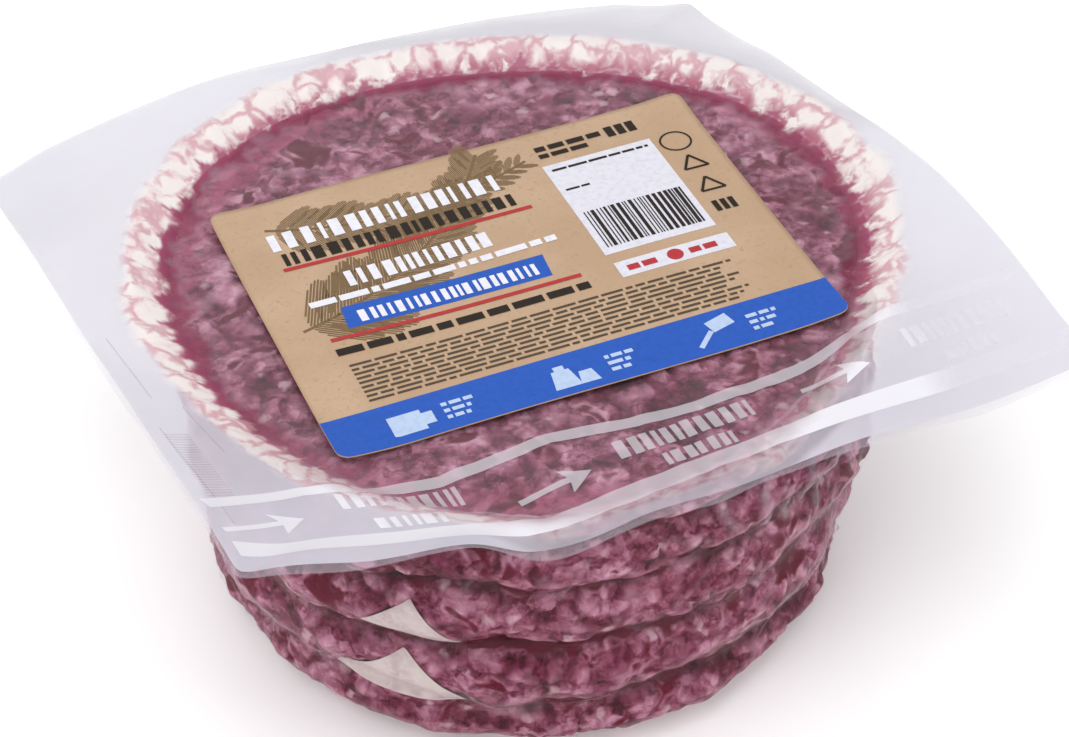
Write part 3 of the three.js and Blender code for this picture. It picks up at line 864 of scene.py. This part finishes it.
def makeFormedFilm():
    shape, look, columns = formedShape, hazeLook, angles[:, None]
    wrinkle = sideWrinkles()
    radii = aboveBase(sideFilm + shape["wrinkleHeight"] * wrinkle + shape["aboveSide"], gridHeights)
    kept = int(np.searchsorted(rowHeights, stackHeight - shape["shoulderBelowTop"]))
    side = onCircle(columns, radii[:, :kept], gridHeights[:, :kept])
    # the flare from the shoulder to the rim, then the flange, both just under the lid
    reach = flangeReach(columns) + shape["edgeBeyondLid"]
    underRim = np.minimum(rimReach(columns), reach - 2)
    start, startHeight = radii[:, kept - 1:kept], rowHeights[kept - 1]
    share = np.linspace(0, 1, shape["flareRows"] + 1)[1:]
    flareRadii = start + (underRim - start) * share
    underLid = lidHeight(columns + 0 * flareRadii, flareRadii) - shape["underLid"]
    flareHeights = np.minimum(startHeight + (underLid[:, -1:] - startHeight) * share ** 1.2, underLid)
    flangeShare = np.linspace(0, 1, shape["flangeRows"] + 1)[1:]
    flangeRadii = underRim + (reach - underRim) * flangeShare
    flangeHeights = lidHeight(columns + 0 * flangeRadii, flangeRadii) - shape["underLid"]
    wave = np.sin(9 * columns + 1) + np.sin(17 * columns) + 0.6 * np.sin(31 * columns + 2)
    wave = shape["edgeWave"] * wave
    flangeHeights = flangeHeights + (wave - shape["edgeDroop"]) * flangeShare ** 2
    outer = onCircle(columns, np.concatenate([flareRadii, flangeRadii], 1),
                     np.concatenate([flareHeights, flangeHeights], 1))
    base = closing(side[:, :1], np.array([0.3, 0.65]))
    grid = np.concatenate([base, side, outer], 1)
    count, rows = grid.shape[:2]
    faces = wrappedFaces(count, rows, 1) + fanFaces(0, count, rows, 0, 1, False)
    hazeSide = look["side"] + shape["wrinkleHaze"] * np.minimum(wrinkle[:, :kept], 1) ** 1.5
    hazeFlare = look["side"] + (look["formedFlange"] - look["side"]) * (share + 0 * flareRadii)
    haze = np.concatenate([np.full(base.shape[:2], look["side"]), hazeSide, hazeFlare,
                           np.full(flangeRadii.shape, look["formedFlange"])], 1)
    film = makePiece("formed_film", np.concatenate([[(0, 0, 0)], grid.reshape(-1, 3)]), faces,
                     formedFilmMaterial(),
                     {"haze": np.concatenate([[look["side"]], haze.ravel()])})
    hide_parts("film_pack")


makeFormedFilm()
print("formed film made")

# Interleaf paper: greaseproof paper, calendered, so it is smooth and lets the meat tint it
interleafLook = {"pale": "#C9B9B6", "soaked": "#B49C9F", "fibre": "#CFC2BF", "fibreMm": 1.4, "soakMm": 8,
                 "cells": (40, 16), "thickness": 0.12}


def greaseproofMaterial():
    look = interleafLook
    material, tree = newMaterial("greaseproof_paper_calendered")
    place = addNode(tree, "place")
    fibre = addNode(tree, "noise", place, 1 / (look["fibreMm"] * mm), 4)
    soak = addNode(tree, "ramp", addNode(tree, "noise", place, 1 / (look["soakMm"] * mm), 2), 0.35, 0.7)
    colour = addNode(tree, "mix", soak, look["pale"], look["soaked"])
    colour = addNode(tree, "mix", addNode(tree, "ramp", fibre, 0.3, 0.8), colour, look["fibre"])
    bump = addNode(tree, "bump", fibre, 0.1 * mm, 0.3)
    addNode(tree, "end", addNode(tree, "surface", colour, 0.5, 0.3, bump))
    return material


def makePaperCorner(name, corner, material):
    across, up = interleafLook["cells"]
    share = np.linspace(0, 1, across + 1)
    lowZ, highZ = paperEdges(corner, share)
    heights = lowZ[:, None] + (highZ - lowZ)[:, None] * np.linspace(0, 1, up + 1)
    turn = np.radians(corner["left"][0] + (corner["right"][0] - corner["left"][0]) * share)
    column = np.round(turn / fullTurn * len(angles)).astype(int) % len(angles)
    radii = sampled(paperSheet[column], heights, rowHeights)
    points = [onCircle(turn[:, None], radii - depth, heights) for depth in (0, interleafLook["thickness"])]
    return makePiece(name, points, sheetFaces(across, up), material)


paperMaterial = greaseproofMaterial()
for paperName, paperCorner in paperCorners.items():
    makePaperCorner(paperName, paperCorner, paperMaterial)
print("interleaf corners made")

# The label: kraft paper, machine-made and varnished for print.
labelShape = {
    "width": 99.5, "depth": 77, "centre": (-0.9, -0.2), "turnDegrees": -2.5, "thickness": 0.25,
    "cornerRadius": 2.5, "aboveLid": 0.75, "curlRise": 1, "curlFrom": 54, "cell": 1.25,
}
kraftLook = {"dark": "#B8997C", "light": "#C2A488", "fibre": "#AC8F70", "fibreMm": 0.9, "cloudMm": 16}


def kraftMaterial():
    look = kraftLook
    material, tree = newMaterial("kraft_paper_varnished")
    place = addNode(tree, "place")
    fibre = addNode(tree, "noise", place, 1 / (look["fibreMm"] * mm), 4, 0.5, 1.2)
    cloud = addNode(tree, "ramp", addNode(tree, "noise", place, 1 / (look["cloudMm"] * mm), 3), 0.3, 0.75)
    colour = addNode(tree, "mix", cloud, look["dark"], look["light"])
    colour = addNode(tree, "mix", addNode(tree, "ramp", fibre, 0.52, 0.78), colour, look["fibre"])
    bump = addNode(tree, "bump", fibre, 0.05 * mm, 0.15)
    addNode(tree, "end", addNode(tree, "surface", colour, 0.55, 0.3, bump))
    return material


def labelToPack(x, y):
    turn = math.radians(labelShape["turnDegrees"])
    packX = x * math.cos(turn) - y * math.sin(turn) + labelShape["centre"][0]
    packY = x * math.sin(turn) + y * math.cos(turn) + labelShape["centre"][1]
    return packX, packY


def labelTop(x, y, lift=0.0):
    # A point of the label's upper side, from its own x and y
    shape = labelShape
    packX, packY = labelToPack(x, y)
    curl = shape["curlRise"] * smoothStep(np.hypot(packX, packY), shape["curlFrom"], packShape["faceRadius"])
    height = faceHeight(packX, packY) + shape["aboveLid"] + shape["thickness"] + curl + lift
    return np.stack([packX, packY, height], -1)


def makeLabel():
    shape = labelShape
    columns, rows = int(shape["width"] / shape["cell"]), int(shape["depth"] / shape["cell"])
    x, y = np.meshgrid(np.linspace(-0.5, 0.5, columns + 1) * shape["width"],
                       np.linspace(-0.5, 0.5, rows + 1) * shape["depth"], indexing="ij")
    # points in the corners are pulled in onto the corner's arc
    cornerX, cornerY = shape["width"] / 2 - shape["cornerRadius"], shape["depth"] / 2 - shape["cornerRadius"]
    overX, overY = np.maximum(np.abs(x) - cornerX, 0), np.maximum(np.abs(y) - cornerY, 0)
    far = np.maximum(np.hypot(overX, overY), 1e-6)
    pull = np.where((overX > 0) & (overY > 0) & (far > shape["cornerRadius"]), shape["cornerRadius"] / far, 1)
    x = np.sign(x) * (np.minimum(np.abs(x), cornerX) + overX * pull)
    y = np.sign(y) * (np.minimum(np.abs(y), cornerY) + overY * pull)
    top = labelTop(x, y)
    faces, count = sheetFaces(columns, rows), (columns + 1) * (rows + 1)
    loop = [i * (rows + 1) for i in range(columns)] + [columns * (rows + 1) + j for j in range(rows)]
    loop += [i * (rows + 1) + rows for i in range(columns, 0, -1)] + list(range(rows, 0, -1))
    for here, after in zip(loop, loop[1:] + loop[:1]):
        faces.append((after, here, count + here, count + after))
    under = top - [0, 0, shape["thickness"]]
    label = makePiece("label_sheet", [top, under], faces, kraftMaterial())
    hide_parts("label")


makeLabel()
print("label made")


def inkMaterial(name, colour):
    # Flexo ink on varnished paper: flat colour, very slightly mottled where it sank in
    material, tree = newMaterial(name)
    mottle = addNode(tree, "noise", addNode(tree, "place"), 1 / (1.1 * mm), 3)
    shade = tuple(0.86 * c for c in hexColour(colour)[:3]) + (1,)
    mixed = addNode(tree, "mix", addNode(tree, "ramp", mottle, 0.35, 0.85), colour, shade)
    addNode(tree, "end", addNode(tree, "surface", mixed, 0.6, 0.15))
    return material


def box(x0, y0, x1, y1):
    return [(x0, y0), (x1, y0), (x1, y1), (x0, y1)]


def slantedBox(start, end, width):
    # A bar of a given width between two points
    (x0, y0), (x1, y1) = start, end
    length = math.hypot(x1 - x0, y1 - y0)
    nx, ny = -(y1 - y0) / length * width / 2, (x1 - x0) / length * width / 2
    return [(x0 - nx, y0 - ny), (x1 - nx, y1 - ny), (x1 + nx, y1 + ny), (x0 + nx, y0 + ny)]


def roundedStrip(x0, y0, x1, y1, radius):
    # A box with its two lower corners rounded
    turns = np.linspace(0, math.pi / 2, 6)
    left = [(x0 + radius * (1 - math.cos(t)), y0 + radius * (1 - math.sin(t))) for t in turns]
    right = [(x1 - radius * (1 - math.sin(t)), y0 + radius * (1 - math.cos(t))) for t in turns]
    return left + right + [(x1, y1), (x0, y1)]


def disc(x, y, radius, sides=20, start=0.0):
    turns = [fullTurn * k / sides + start for k in range(sides)]
    return [(x + radius * math.cos(turn), y + radius * math.sin(turn)) for turn in turns]


def ringBars(x, y, radius, width, sides):
    # A thin round or three-sided outline, drawn as short bars
    corners = disc(x, y, radius, sides, math.pi / 2)
    return [slantedBox(a, b, width) for a, b in zip(corners, corners[1:] + corners[:1])]


def drapedPrint(name, outlines, place, lift, material, cell=6.0):
    # Flat outlines cut along a grid and laid on a curved sheet; place gives the sheet's points
    shapes = bmesh.new()
    for outline in outlines:
        shapes.faces.new([shapes.verts.new((x, y, 0)) for x, y in outline])
    xs = [v.co.x for v in shapes.verts]
    ys = [v.co.y for v in shapes.verts]
    for axis, values in ((0, xs), (1, ys)):
        for step in range(math.ceil(min(values) / cell), math.floor(max(values) / cell) + 1):
            point, normal = [0, 0, 0], [0, 0, 0]
            point[axis], normal[axis] = step * cell, 1
            everything = shapes.verts[:] + shapes.edges[:] + shapes.faces[:]
            bmesh.ops.bisect_plane(shapes, geom=everything, plane_co=point, plane_no=normal)
    bmesh.ops.triangulate(shapes, faces=shapes.faces[:])
    bmesh.ops.recalc_face_normals(shapes, faces=shapes.faces[:])
    for face in shapes.faces:
        if face.normal.z < 0:
            face.normal_flip()
    shapes.verts.index_update()
    flat = np.array([v.co[:] for v in shapes.verts])
    faces = [[v.index for v in face.verts] for face in shapes.faces]
    shapes.free()
    return makePiece(name, place(flat[:, 0], flat[:, 1], lift), faces, material)


wordSeed = random.Random(5)


def wordBars(x0, x1, y, height, slant=0.0, longest=9.0, gap=0.28):
    # A line of print as plain bars of uneven length
    bars, x = [], x0
    while x < x1 - 0.6:
        width = min(wordSeed.uniform(0.22, 1.0) * longest, x1 - x)
        low, high = y + slant * (x - x0), y + slant * (x - x0) + slant * width
        bars.append([(x, low), (x + width, high), (x + width, high + height), (x, low + height)])
        x += width + gap * height * 2
    return bars


def evenBlocks(x0, x1, y, height, count, fill):
    # A bold line as upright blocks of one width
    step = (x1 - x0) / count
    return [box(x0 + i * step, y, x0 + (i + fill) * step, y + height) for i in range(count)]


def unevenBlocks(x0, x1, y, height, slant=0.0, narrow=0.5, wide=1.5, gap=0.55):
    # A bold line as upright blocks of uneven width
    blocks, x = [], x0
    while x < x1 - narrow:
        width = min(wordSeed.uniform(narrow, wide), x1 - x)
        low, high = y + slant * (x - x0), y + slant * (x - x0 + width)
        blocks.append([(x, low), (x + width, high), (x + width, high + height), (x, low + height)])
        x += width + gap * wordSeed.uniform(0.7, 1.6)
    return blocks


def sprigOutlines(x0, y0, length, bearing, leaves, leafLength):
    # A herb sprig: a bent stem with pairs of narrow leaves that shorten towards its tip
    stem, shapes = [], []
    for k in range(leaves + 1):
        t = k / leaves
        turn = math.radians(bearing + 24 * t)
        stem.append((x0 + length * t * math.cos(turn), y0 + length * t * math.sin(turn)))
    for start, end in zip(stem, stem[1:]):
        shapes.append(slantedBox(start, end, 0.7))
    for k in range(1, leaves):
        t = k / leaves
        heading = math.atan2(stem[k + 1][1] - stem[k][1], stem[k + 1][0] - stem[k][0])
        for side in (-1, 1):
            size = leafLength * (1 - 0.55 * t) * (1 + 0.12 * math.sin(5 * k + side))
            lean = heading + side * math.radians(52 - 14 * t)
            cx, cy = stem[k][0] + 0.5 * size * math.cos(lean), stem[k][1] + 0.5 * size * math.sin(lean)
            for line in range(-3, 4):
                aside, half = 0.042 * size * line, 0.5 * size * math.sqrt(1 - (line / 3.6) ** 2)
                mx, my = cx - aside * math.sin(lean), cy + aside * math.cos(lean)
                start = (mx - half * math.cos(lean), my - half * math.sin(lean))
                end = (mx + half * math.cos(lean), my + half * math.sin(lean))
                shapes.append(slantedBox(start, end, 0.028 * size))
    return shapes


# The label's inks: colour, and height of the print above the paper
inkLook = {
    "blue": ("#2D5BB9", 0.04), "brown": ("#7C6549", 0.03), "white": ("#E9E8F0", 0.1),
    "panel": ("#DFDEE8", 0.05), "red": ("#B5393C", 0.12), "dark": ("#2C241F", 0.11),
    "small": ("#54483A", 0.06), "pale": ("#B9CCEA", 0.09),
}


def makeLabelPrint():
    # Everything is placed in the label's own x and y, and words are plain bars and blocks
    blue = [roundedStrip(-49.7, -38.45, 49.7, -27.4, 2.5), [(-36, -4.2), (4, -5.6), (4.6, 1.0), (-35.4, 2.2)]]
    brown = sprigOutlines(-44, -2, 62, 14, 26, 15) + sprigOutlines(-41, 30, 54, -24, 22, 10)
    white = unevenBlocks(-41.5, 7, 22.8, 5.2, 0.01, 0.8, 2.2, 1.1)
    white += unevenBlocks(-31.5, -2, 7.4, 4.6, 0.005, 0.8, 2.0, 0.8)
    white += wordBars(-40.5, 9, 3.9, 1.7, 0.0, 6.5, 0.2)
    white += unevenBlocks(-33, 2, -3.3, 3.4, -0.03, 0.6, 1.5, 0.6)
    panel = [box(15.2, -4.6, 38.2, 26.6), box(15.6, -12.0, 39, -7.4)]
    red = [slantedBox((-41.5, 16.8), (8.5, 15.6), 1.0), slantedBox((-40.2, -6.4), (8.8, -7.9), 1.0)]
    red += wordBars(17.5, 24.5, -10.6, 1.6, 0.0, 3.0, 0.2) + [disc(27.3, -9.7, 1.6)]
    red += wordBars(30.2, 37, -10.6, 1.6, 0.0, 3.2, 0.2)
    dark = unevenBlocks(-40.5, 8, 17.8, 3.8, -0.01, 0.8, 2.2, 0.7)
    dark += wordBars(-40.4, 9.2, -11.2, 2.0, -0.02, 7, 0.22)
    dark += wordBars(16, 30, 31.6, 1.6, 0.0, 4.5, 0.22) + wordBars(16, 27, 29.2, 1.4, 0.0, 4, 0.22)
    dark += evenBlocks(31.2, 38, 30.4, 3.4, 3, 0.74)
    dark += wordBars(16.5, 37, 24.2, 0.7, 0.0, 4, 0.3) + wordBars(16.5, 22, 17.2, 0.6, 0.0, 3, 0.3)
    draw = random.Random(3)
    x = 16.6
    while x < 36.8:
        width = draw.choice([0.25, 0.25, 0.5, 0.75])
        dark.append(box(x, -2.6, min(x + width, 36.9), 9.4))
        x += width + draw.choice([0.25, 0.4, 0.5])
    dark += ringBars(42.6, 23.6, 3.1, 0.4, 20)
    dark += ringBars(42.8, 15.4, 2.9, 0.55, 3) + ringBars(42.8, 7.6, 2.9, 0.55, 3)
    dark += evenBlocks(40.4, 45.4, -0.8, 3.4, 3, 0.66)
    small = []
    for line in range(9):
        small += wordBars(-39.5, 36 - 1.6 * (line % 3), -14.8 - 1.32 * line, 0.62, -0.012, 5.5, 0.5)
    pale = [box(-38.6, -36.4, -32.4, -31.0), slantedBox((-32.4, -33.7), (-30.4, -33.7), 3.2)]
    pale += [[(-8.2, -36.6), (-3.0, -36.6), (-3.9, -31.6), (-7.3, -31.6)], box(-6.6, -31.7, -4.6, -30.4)]
    pale += [[(-3.2, -36.6), (0.6, -36.6), (-0.1, -33.2), (-2.6, -33.2)]]
    pale += [[(24.4, -33.2), (29.0, -32.0), (28.2, -28.9), (23.6, -30.2)]]
    pale += [slantedBox((24.0, -32.6), (20.4, -36.2), 1.0)]
    for x0, wide in ((-28.4, 6.2), (3.2, 5.6), (31.4, 6.0)):
        for k in range(3):
            pale += wordBars(x0, x0 + wide - 0.8 * k, -32.0 - 1.8 * k, 0.95, 0.0, 3.2, 0.25)
    printed = {"blue": blue, "brown": brown, "white": white, "panel": panel, "red": red, "dark": dark,
               "small": small, "pale": pale}
    for ink, outlines in printed.items():
        colour, lift = inkLook[ink]
        material = inkMaterial(f"flexo_ink_{ink}", colour)
        drapedPrint(f"label_print_{ink}", outlines, labelTop, lift, material)


makeLabelPrint()
print("label print made")

# White flexo print on the lid's opening strip: two stripes, arrows and plain blocks.
lidPrintShape = {
    "stripes": [  # width, then the path of its middle
        (2.7, [(-80.5, -50), (-74, -47.8), (-62.5, -44.8), (-54, -45), (-45, -46.2), (-38, -47.4), (-27, -47),
               (-17, -46.2), (-1, -48.7), (10, -49.4), (21, -49.6), (31, -49.3), (42, -47), (50, -47.2),
               (76, -48)]),
        (4.2, [(-79.8, -63.4), (-69, -63.2), (-55, -63.6), (-42, -65.4), (-31, -66.8), (-24.6, -66.8),
               (-16.4, -65.8), (-9.4, -65.1), (3.4, -64.4), (13.3, -64.2), (23.3, -64.1), (37.3, -64.7),
               (60, -65.2), (77, -65.8)]),
    ],
    "arrows": [((-80, -58), (-65, -53.4)), ((-28.2, -58.6), (-13.7, -56.8)), ((28.6, -54.9), (41.4, -56.8))],
    "arrowShaft": 1.3, "arrowHead": (5.5, 6.2),
    "blocks": [  # start, length, height, slant
        ((-57.5, -52.0), 21, 5.0, -0.13), ((-54, -60.0), 12, 3.6, -0.16), ((-7.8, -56.6), 27.5, 4.4, 0.0),
        ((-1, -61.6), 13.6, 3.2, 0.0), ((50, -56.5), 22, 4.4, 0.0), ((55, -61.8), 11, 3.2, 0.0)],
    "lift": 0.12, "ink": "#F0EEF5",
    # how solid the ink is over the meat, how much more on the flange, and where it is worn at the right
    "cover": (0.4, 0.45), "worn": 0.8, "wornFrom": (46, 57),
}


def lidTop(x, y, lift):
    # A point just above the lid film, read from the film's own grid
    angle, radius = np.arctan2(y, x) % fullTurn, np.hypot(x, y)
    column = angle / fullTurn * len(angles)
    low = np.floor(column).astype(int) % len(angles)
    after, t = (low + 1) % len(angles), column - np.floor(column)
    height = np.array([
        (1 - t[i]) * np.interp(radius[i], lidRadii[low[i]], lidHeights[low[i]])
        + t[i] * np.interp(radius[i], lidRadii[after[i]], lidHeights[after[i]]) for i in range(len(angle))])
    return np.stack([x, y, height + lift], -1)


def stripeOutlines(width, path):
    sides = []
    for i, (x, y) in enumerate(path):
        (x0, y0), (x1, y1) = path[max(i - 1, 0)], path[min(i + 1, len(path) - 1)]
        length = math.hypot(x1 - x0, y1 - y0)
        sides.append(((x - (y1 - y0) / length * width / 2, y + (x1 - x0) / length * width / 2),
                      (x + (y1 - y0) / length * width / 2, y - (x1 - x0) / length * width / 2)))
    return [[low, nextLow, nextHigh, high] for (high, low), (nextHigh, nextLow) in zip(sides, sides[1:])]


def arrowOutlines(tail, tip):
    (x0, y0), (x1, y1) = tail, tip
    length = math.hypot(x1 - x0, y1 - y0)
    ux, uy = (x1 - x0) / length, (y1 - y0) / length
    headLong, headWide = lidPrintShape["arrowHead"]
    neck = (x1 - ux * headLong * 0.8, y1 - uy * headLong * 0.8)
    shapes = [slantedBox(tail, neck, lidPrintShape["arrowShaft"])]
    back = (x1 - ux * headLong, y1 - uy * headLong)
    for side in (-1, 1):
        barb = (back[0] - side * uy * headWide / 2, back[1] + side * ux * headWide / 2)
        shapes.append([(x1, y1), barb, neck] if side > 0 else [(x1, y1), neck, barb])
    return shapes


def filmInkMaterial():
    # White flexo ink on film: thin, so a little of what is beneath shows through
    material, tree = newMaterial("white_ink_on_film")
    ink = addNode(tree, "surface", lidPrintShape["ink"], 0.3, 0.5)
    cover = addNode(tree, "field", attribute_name="cover")
    addNode(tree, "end", addNode(tree, "blend", cover, addNode(tree, "clear", "#FFFFFF"), ink))
    return material


def makeLidPrint():
    shape = lidPrintShape
    outlines = [outline for width, path in shape["stripes"] for outline in stripeOutlines(width, path)]
    for tail, tip in shape["arrows"]:
        outlines += arrowOutlines(tail, tip)
    for (x, y), long, high, slant in shape["blocks"]:
        outlines += unevenBlocks(x, x + long, y, high, slant, 0.7, 2.0, 0.7)
    ink = filmInkMaterial()
    printed = drapedPrint("lid_print_white", outlines, lidTop, shape["lift"], ink, 1.5)
    mesh = printed.data
    points = np.empty(len(mesh.vertices) * 3, np.float32)
    mesh.vertices.foreach_get("co", points)
    x, y, _ = points.reshape(-1, 3).T / mm
    thin, more = shape["cover"]
    cover = thin + more * smoothStep(np.hypot(x, y) - rimReach(np.arctan2(y, x)), -4, 1)
    cover = cover * (1 - shape["worn"] * smoothStep(x, *shape["wornFrom"]))
    mesh.attributes.new("cover", "FLOAT", "POINT").data.foreach_set("value", cover.astype(np.float32))


makeLidPrint()
print("lid print made")

# Weld marks and sharp creases near the left edge, pressed into the film by the sealing bars; the creases are
# drawn as lines of painted shade
weldShape = {
    "column": {"x": -77.3, "from": -25, "to": -48, "pitch": 0.9, "long": 4.6, "thick": 0.4, "lean": 1.1},
    "creases": [((-73, -14.6), (-70.7, -30.2)), ((-79.6, -23), (-77.5, -55.7)), ((-79, 10), (-77.6, -12))],
    "creaseWidth": 0.3, "tint": "#B9A9B6", "strength": 0.3, "lift": 0.08,
}


def makeWeldMarks():
    column = weldShape["column"]
    outlines, y = [], column["from"]
    while y > column["to"]:
        x = column["x"] + 0.03 * (column["from"] - y)
        outlines.append(slantedBox((x - column["long"] / 2, y - column["lean"] / 2),
                                   (x + column["long"] / 2, y + column["lean"] / 2), column["thick"]))
        y -= column["pitch"]
    # the creases: thin darker lines of painted shade along each fold
    outlines += [slantedBox(start, end, weldShape["creaseWidth"]) for start, end in weldShape["creases"]]
    material, tree = newMaterial("film_heat_sealed_and_crease_shade")
    sealMarkAndCreaseShade = addNode(tree, "diffuse", weldShape["tint"])
    clear = addNode(tree, "clear", "#FFFFFF")
    addNode(tree, "end", addNode(tree, "blend", weldShape["strength"], clear, sealMarkAndCreaseShade))
    drapedPrint("weld_marks", outlines, lidTop, weldShape["lift"], material, 1.5)


makeWeldMarks()

# The stage: a plain pale floor and soft studio light
stageLook = {"floor": "#FFFFFF", "floorGlow": 0.12, "sky": "#FFFFFF", "skyStrength": 0.42, "floorHalf": 3.0}
lampLook = [  # name, place in metres, size in metres, power in watts
    ("softbox_above", (-0.35, -0.25, 1.25), 1.0, 8.8),
    ("softbox_left", (-1.1, -0.7, 0.75), 0.8, 5),
    ("softbox_right", (1.0, -0.9, 0.8), 0.8, 5.6),
    ("softbox_back", (0.2, 1.1, 0.9), 0.9, 3),
]


def makeStage():
    half = stageLook["floorHalf"]
    mesh = bpy.data.meshes.new("floor")
    corners = [(-half, -half, 0), (half, -half, 0), (half, half, 0), (-half, half, 0)]
    mesh.from_pydata(corners, [], [(0, 1, 2, 3)])
    floor = bpy.data.objects.new("floor", mesh)
    bpy.context.scene.collection.objects.link(floor)
    material, tree = newMaterial("studio_paper_matt")
    addNode(tree, "end", addNode(tree, "surface", stageLook["floor"], 0.9, 0.1, links={
        "Emission Color": "#FFFFFF", "Emission Strength": stageLook["floorGlow"]}))
    mesh.materials.append(material)
    world = bpy.data.worlds.new("studio_air")
    world.use_nodes = True
    world.node_tree.nodes["Background"].inputs["Color"].default_value = hexColour(stageLook["sky"])
    world.node_tree.nodes["Background"].inputs["Strength"].default_value = stageLook["skyStrength"]
    bpy.context.scene.world = world
    for name, place, size, power in lampLook:
        lamp = bpy.data.lights.new(name, "AREA")
        lamp.shape = "SQUARE"
        lamp.size = size
        lamp.energy = power
        holder = bpy.data.objects.new(name, lamp)
        holder.location = place
        aim = Vector((0, 0, stackHeight * mm * 0.6)) - Vector(place)
        holder.rotation_mode = "QUATERNION"
        holder.rotation_quaternion = aim.to_track_quat("-Z", "Y")
        bpy.context.scene.collection.objects.link(holder)
    bpy.context.scene.view_settings.view_transform = "Standard"


# The camera looks down on the front left, as the photograph does. The middle of the top face
# falls on aimPixel of a 1069 by 737 picture.
cameraLook = {
    "azimuth": -23.4, "elevation": 40.35, "roll": -2.37, "lens": 94.29, "sensor": 36, "distance": 527.3,
    "aim": (0, 0, 70), "aimPixel": (525.7, 266.3), "picture": (1069, 737),
}


def makeCamera():
    look = cameraLook
    azimuth, elevation, roll = (math.radians(look[k]) for k in ("azimuth", "elevation", "roll"))
    back = Vector((math.sin(azimuth) * math.cos(elevation), -math.cos(azimuth) * math.cos(elevation),
                   math.sin(elevation)))
    level = Vector((math.cos(azimuth), math.sin(azimuth), 0))
    upright = back.cross(level)
    right = level * math.cos(roll) + upright * math.sin(roll)
    up = upright * math.cos(roll) - level * math.sin(roll)
    wide, high = look["picture"]
    focal = look["lens"] / look["sensor"] * wide
    x, y = (look["aimPixel"][0] - wide / 2) / focal, -(look["aimPixel"][1] - high / 2) / focal
    place = Vector(look["aim"]) - (right * x + up * y - back) * look["distance"]
    lens = bpy.data.cameras.new("camera")
    lens.lens, lens.sensor_width = look["lens"], look["sensor"]
    lens.clip_start, lens.clip_end = 0.01, 20
    camera = bpy.data.objects.new("camera", lens)
    turned = Matrix((right, up, back)).transposed().to_4x4()
    turned.translation = place * mm
    camera.matrix_world = turned
    bpy.context.scene.collection.objects.link(camera)
    bpy.context.scene.camera = camera


makeStage()
makeCamera()
print("stage and camera made")
